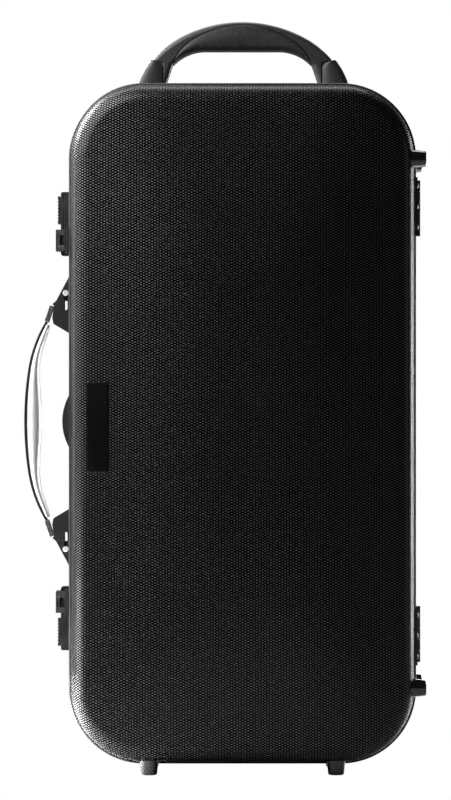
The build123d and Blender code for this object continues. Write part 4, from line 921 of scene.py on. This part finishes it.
tree.links.new(mixed, tree.nodes["Material Output"].inputs["Surface"])
floor = surface("floor", [floor_grid])
floor.data.materials.append(material)


def soft_light(name, place, aim, width, height, power):
    """A rectangular soft light at a place, turned to an aim: metres for its width and height, watts for its power."""
    light = bpy.data.lights.new(name, "AREA")
    light.shape = "RECTANGLE"
    light.size, light.size_y, light.energy = width, height, power
    lamp = bpy.data.objects.new(name, light)
    bpy.context.scene.collection.objects.link(lamp)
    lamp.location = place
    gap = np.array(aim) - np.array(place)
    lamp.rotation_euler = (np.arctan2(np.hypot(gap[0], gap[1]), -gap[2]), 0, np.arctan2(-gap[0], gap[1]))
    lamp.visible_camera = False


soft_light("left_light", (-2.4, -0.3, 0.5), (0, 0, 0.35), 1.4, 1.4, 12.0)
soft_light("left_back_light", (-2.2, 1.8, 0.6), (0, 0, 0.4), 1.0, 1.0, 9.0)
soft_light("crescent_light", (-0.99, 0.5, 1.185), (-0.13, 0, 0.62), 0.95, 0.6, 50.0)
soft_light("corner_light", (-0.62, -0.45, 1.05), (-0.12, -0.05, 0.6), 0.9, 0.9, 15.0)
soft_light("low_left_light", (-0.5, -0.1, 0.1), (-0.15, 0, 0.08), 0.3, 0.14, 1.3)
soft_light("top_light", (-0.05, 0.25, 1.15), (0, 0, 0.68), 0.8, 0.3, 3.0)
soft_light("low_floor_light", (-0.34, 0.06, 0.1), (-0.34, 0.06, 0), 0.18, 0.3, 15.0)
soft_light("right_light", (2.4, -0.4, 0.5), (0, 0, 0.35), 0.8, 1.4, 2.0)
soft_light("right_edge_light", (0.95, 1.1, 0.4), (0.18, 0, 0.4), 0.4, 1.0, 9.0)
soft_light("right_low_light", (0.8, 0.9, 0.3), (0.18, 0, 0.3), 0.3, 0.5, 2.9)
soft_light("right_floor_light", (0.34, 0.4, 0.16), (0.34, 0.4, 0), 0.3, 0.5, 4.0)

world = bpy.data.worlds.new("surround")
bpy.context.scene.world = world
world.use_nodes = True
tree = world.node_tree
tree.nodes["Background"].inputs["Color"].default_value = (1, 1, 1, 1)
tree.nodes["Background"].inputs["Strength"].default_value = surround_strength
seen = add_node(tree, "Background", {"Color": (1, 1, 1, 1), "Strength": 1.0})
ray = tree.nodes.new("ShaderNodeLightPath").outputs["Is Camera Ray"]
mixed = add_node(tree, "MixShader", {0: ray, 1: tree.nodes["Background"].outputs[0], 2: seen})
tree.links.new(mixed, tree.nodes["World Output"].inputs["Surface"])
bpy.context.scene.view_settings.view_transform = "Standard"

# The camera: square to the lid, a little above the case's middle, from 3.5 m away. The picture's longer side
# takes in seen_height at the parting plane.
camera_place = (0.0020, -3.5, 0.36091)
seen_height = 0.77897
sensor_size = 36.0
camera = bpy.data.objects.new("camera", bpy.data.cameras.new("camera"))
bpy.context.scene.collection.objects.link(camera)
bpy.context.scene.camera = camera
camera.location = camera_place
camera.rotation_euler = (np.pi / 2, 0, 0)
camera.data.sensor_width = sensor_size
camera.data.lens = sensor_size * -camera_place[1] / seen_height
camera.data.clip_start, camera.data.clip_end = 0.1, 60.0
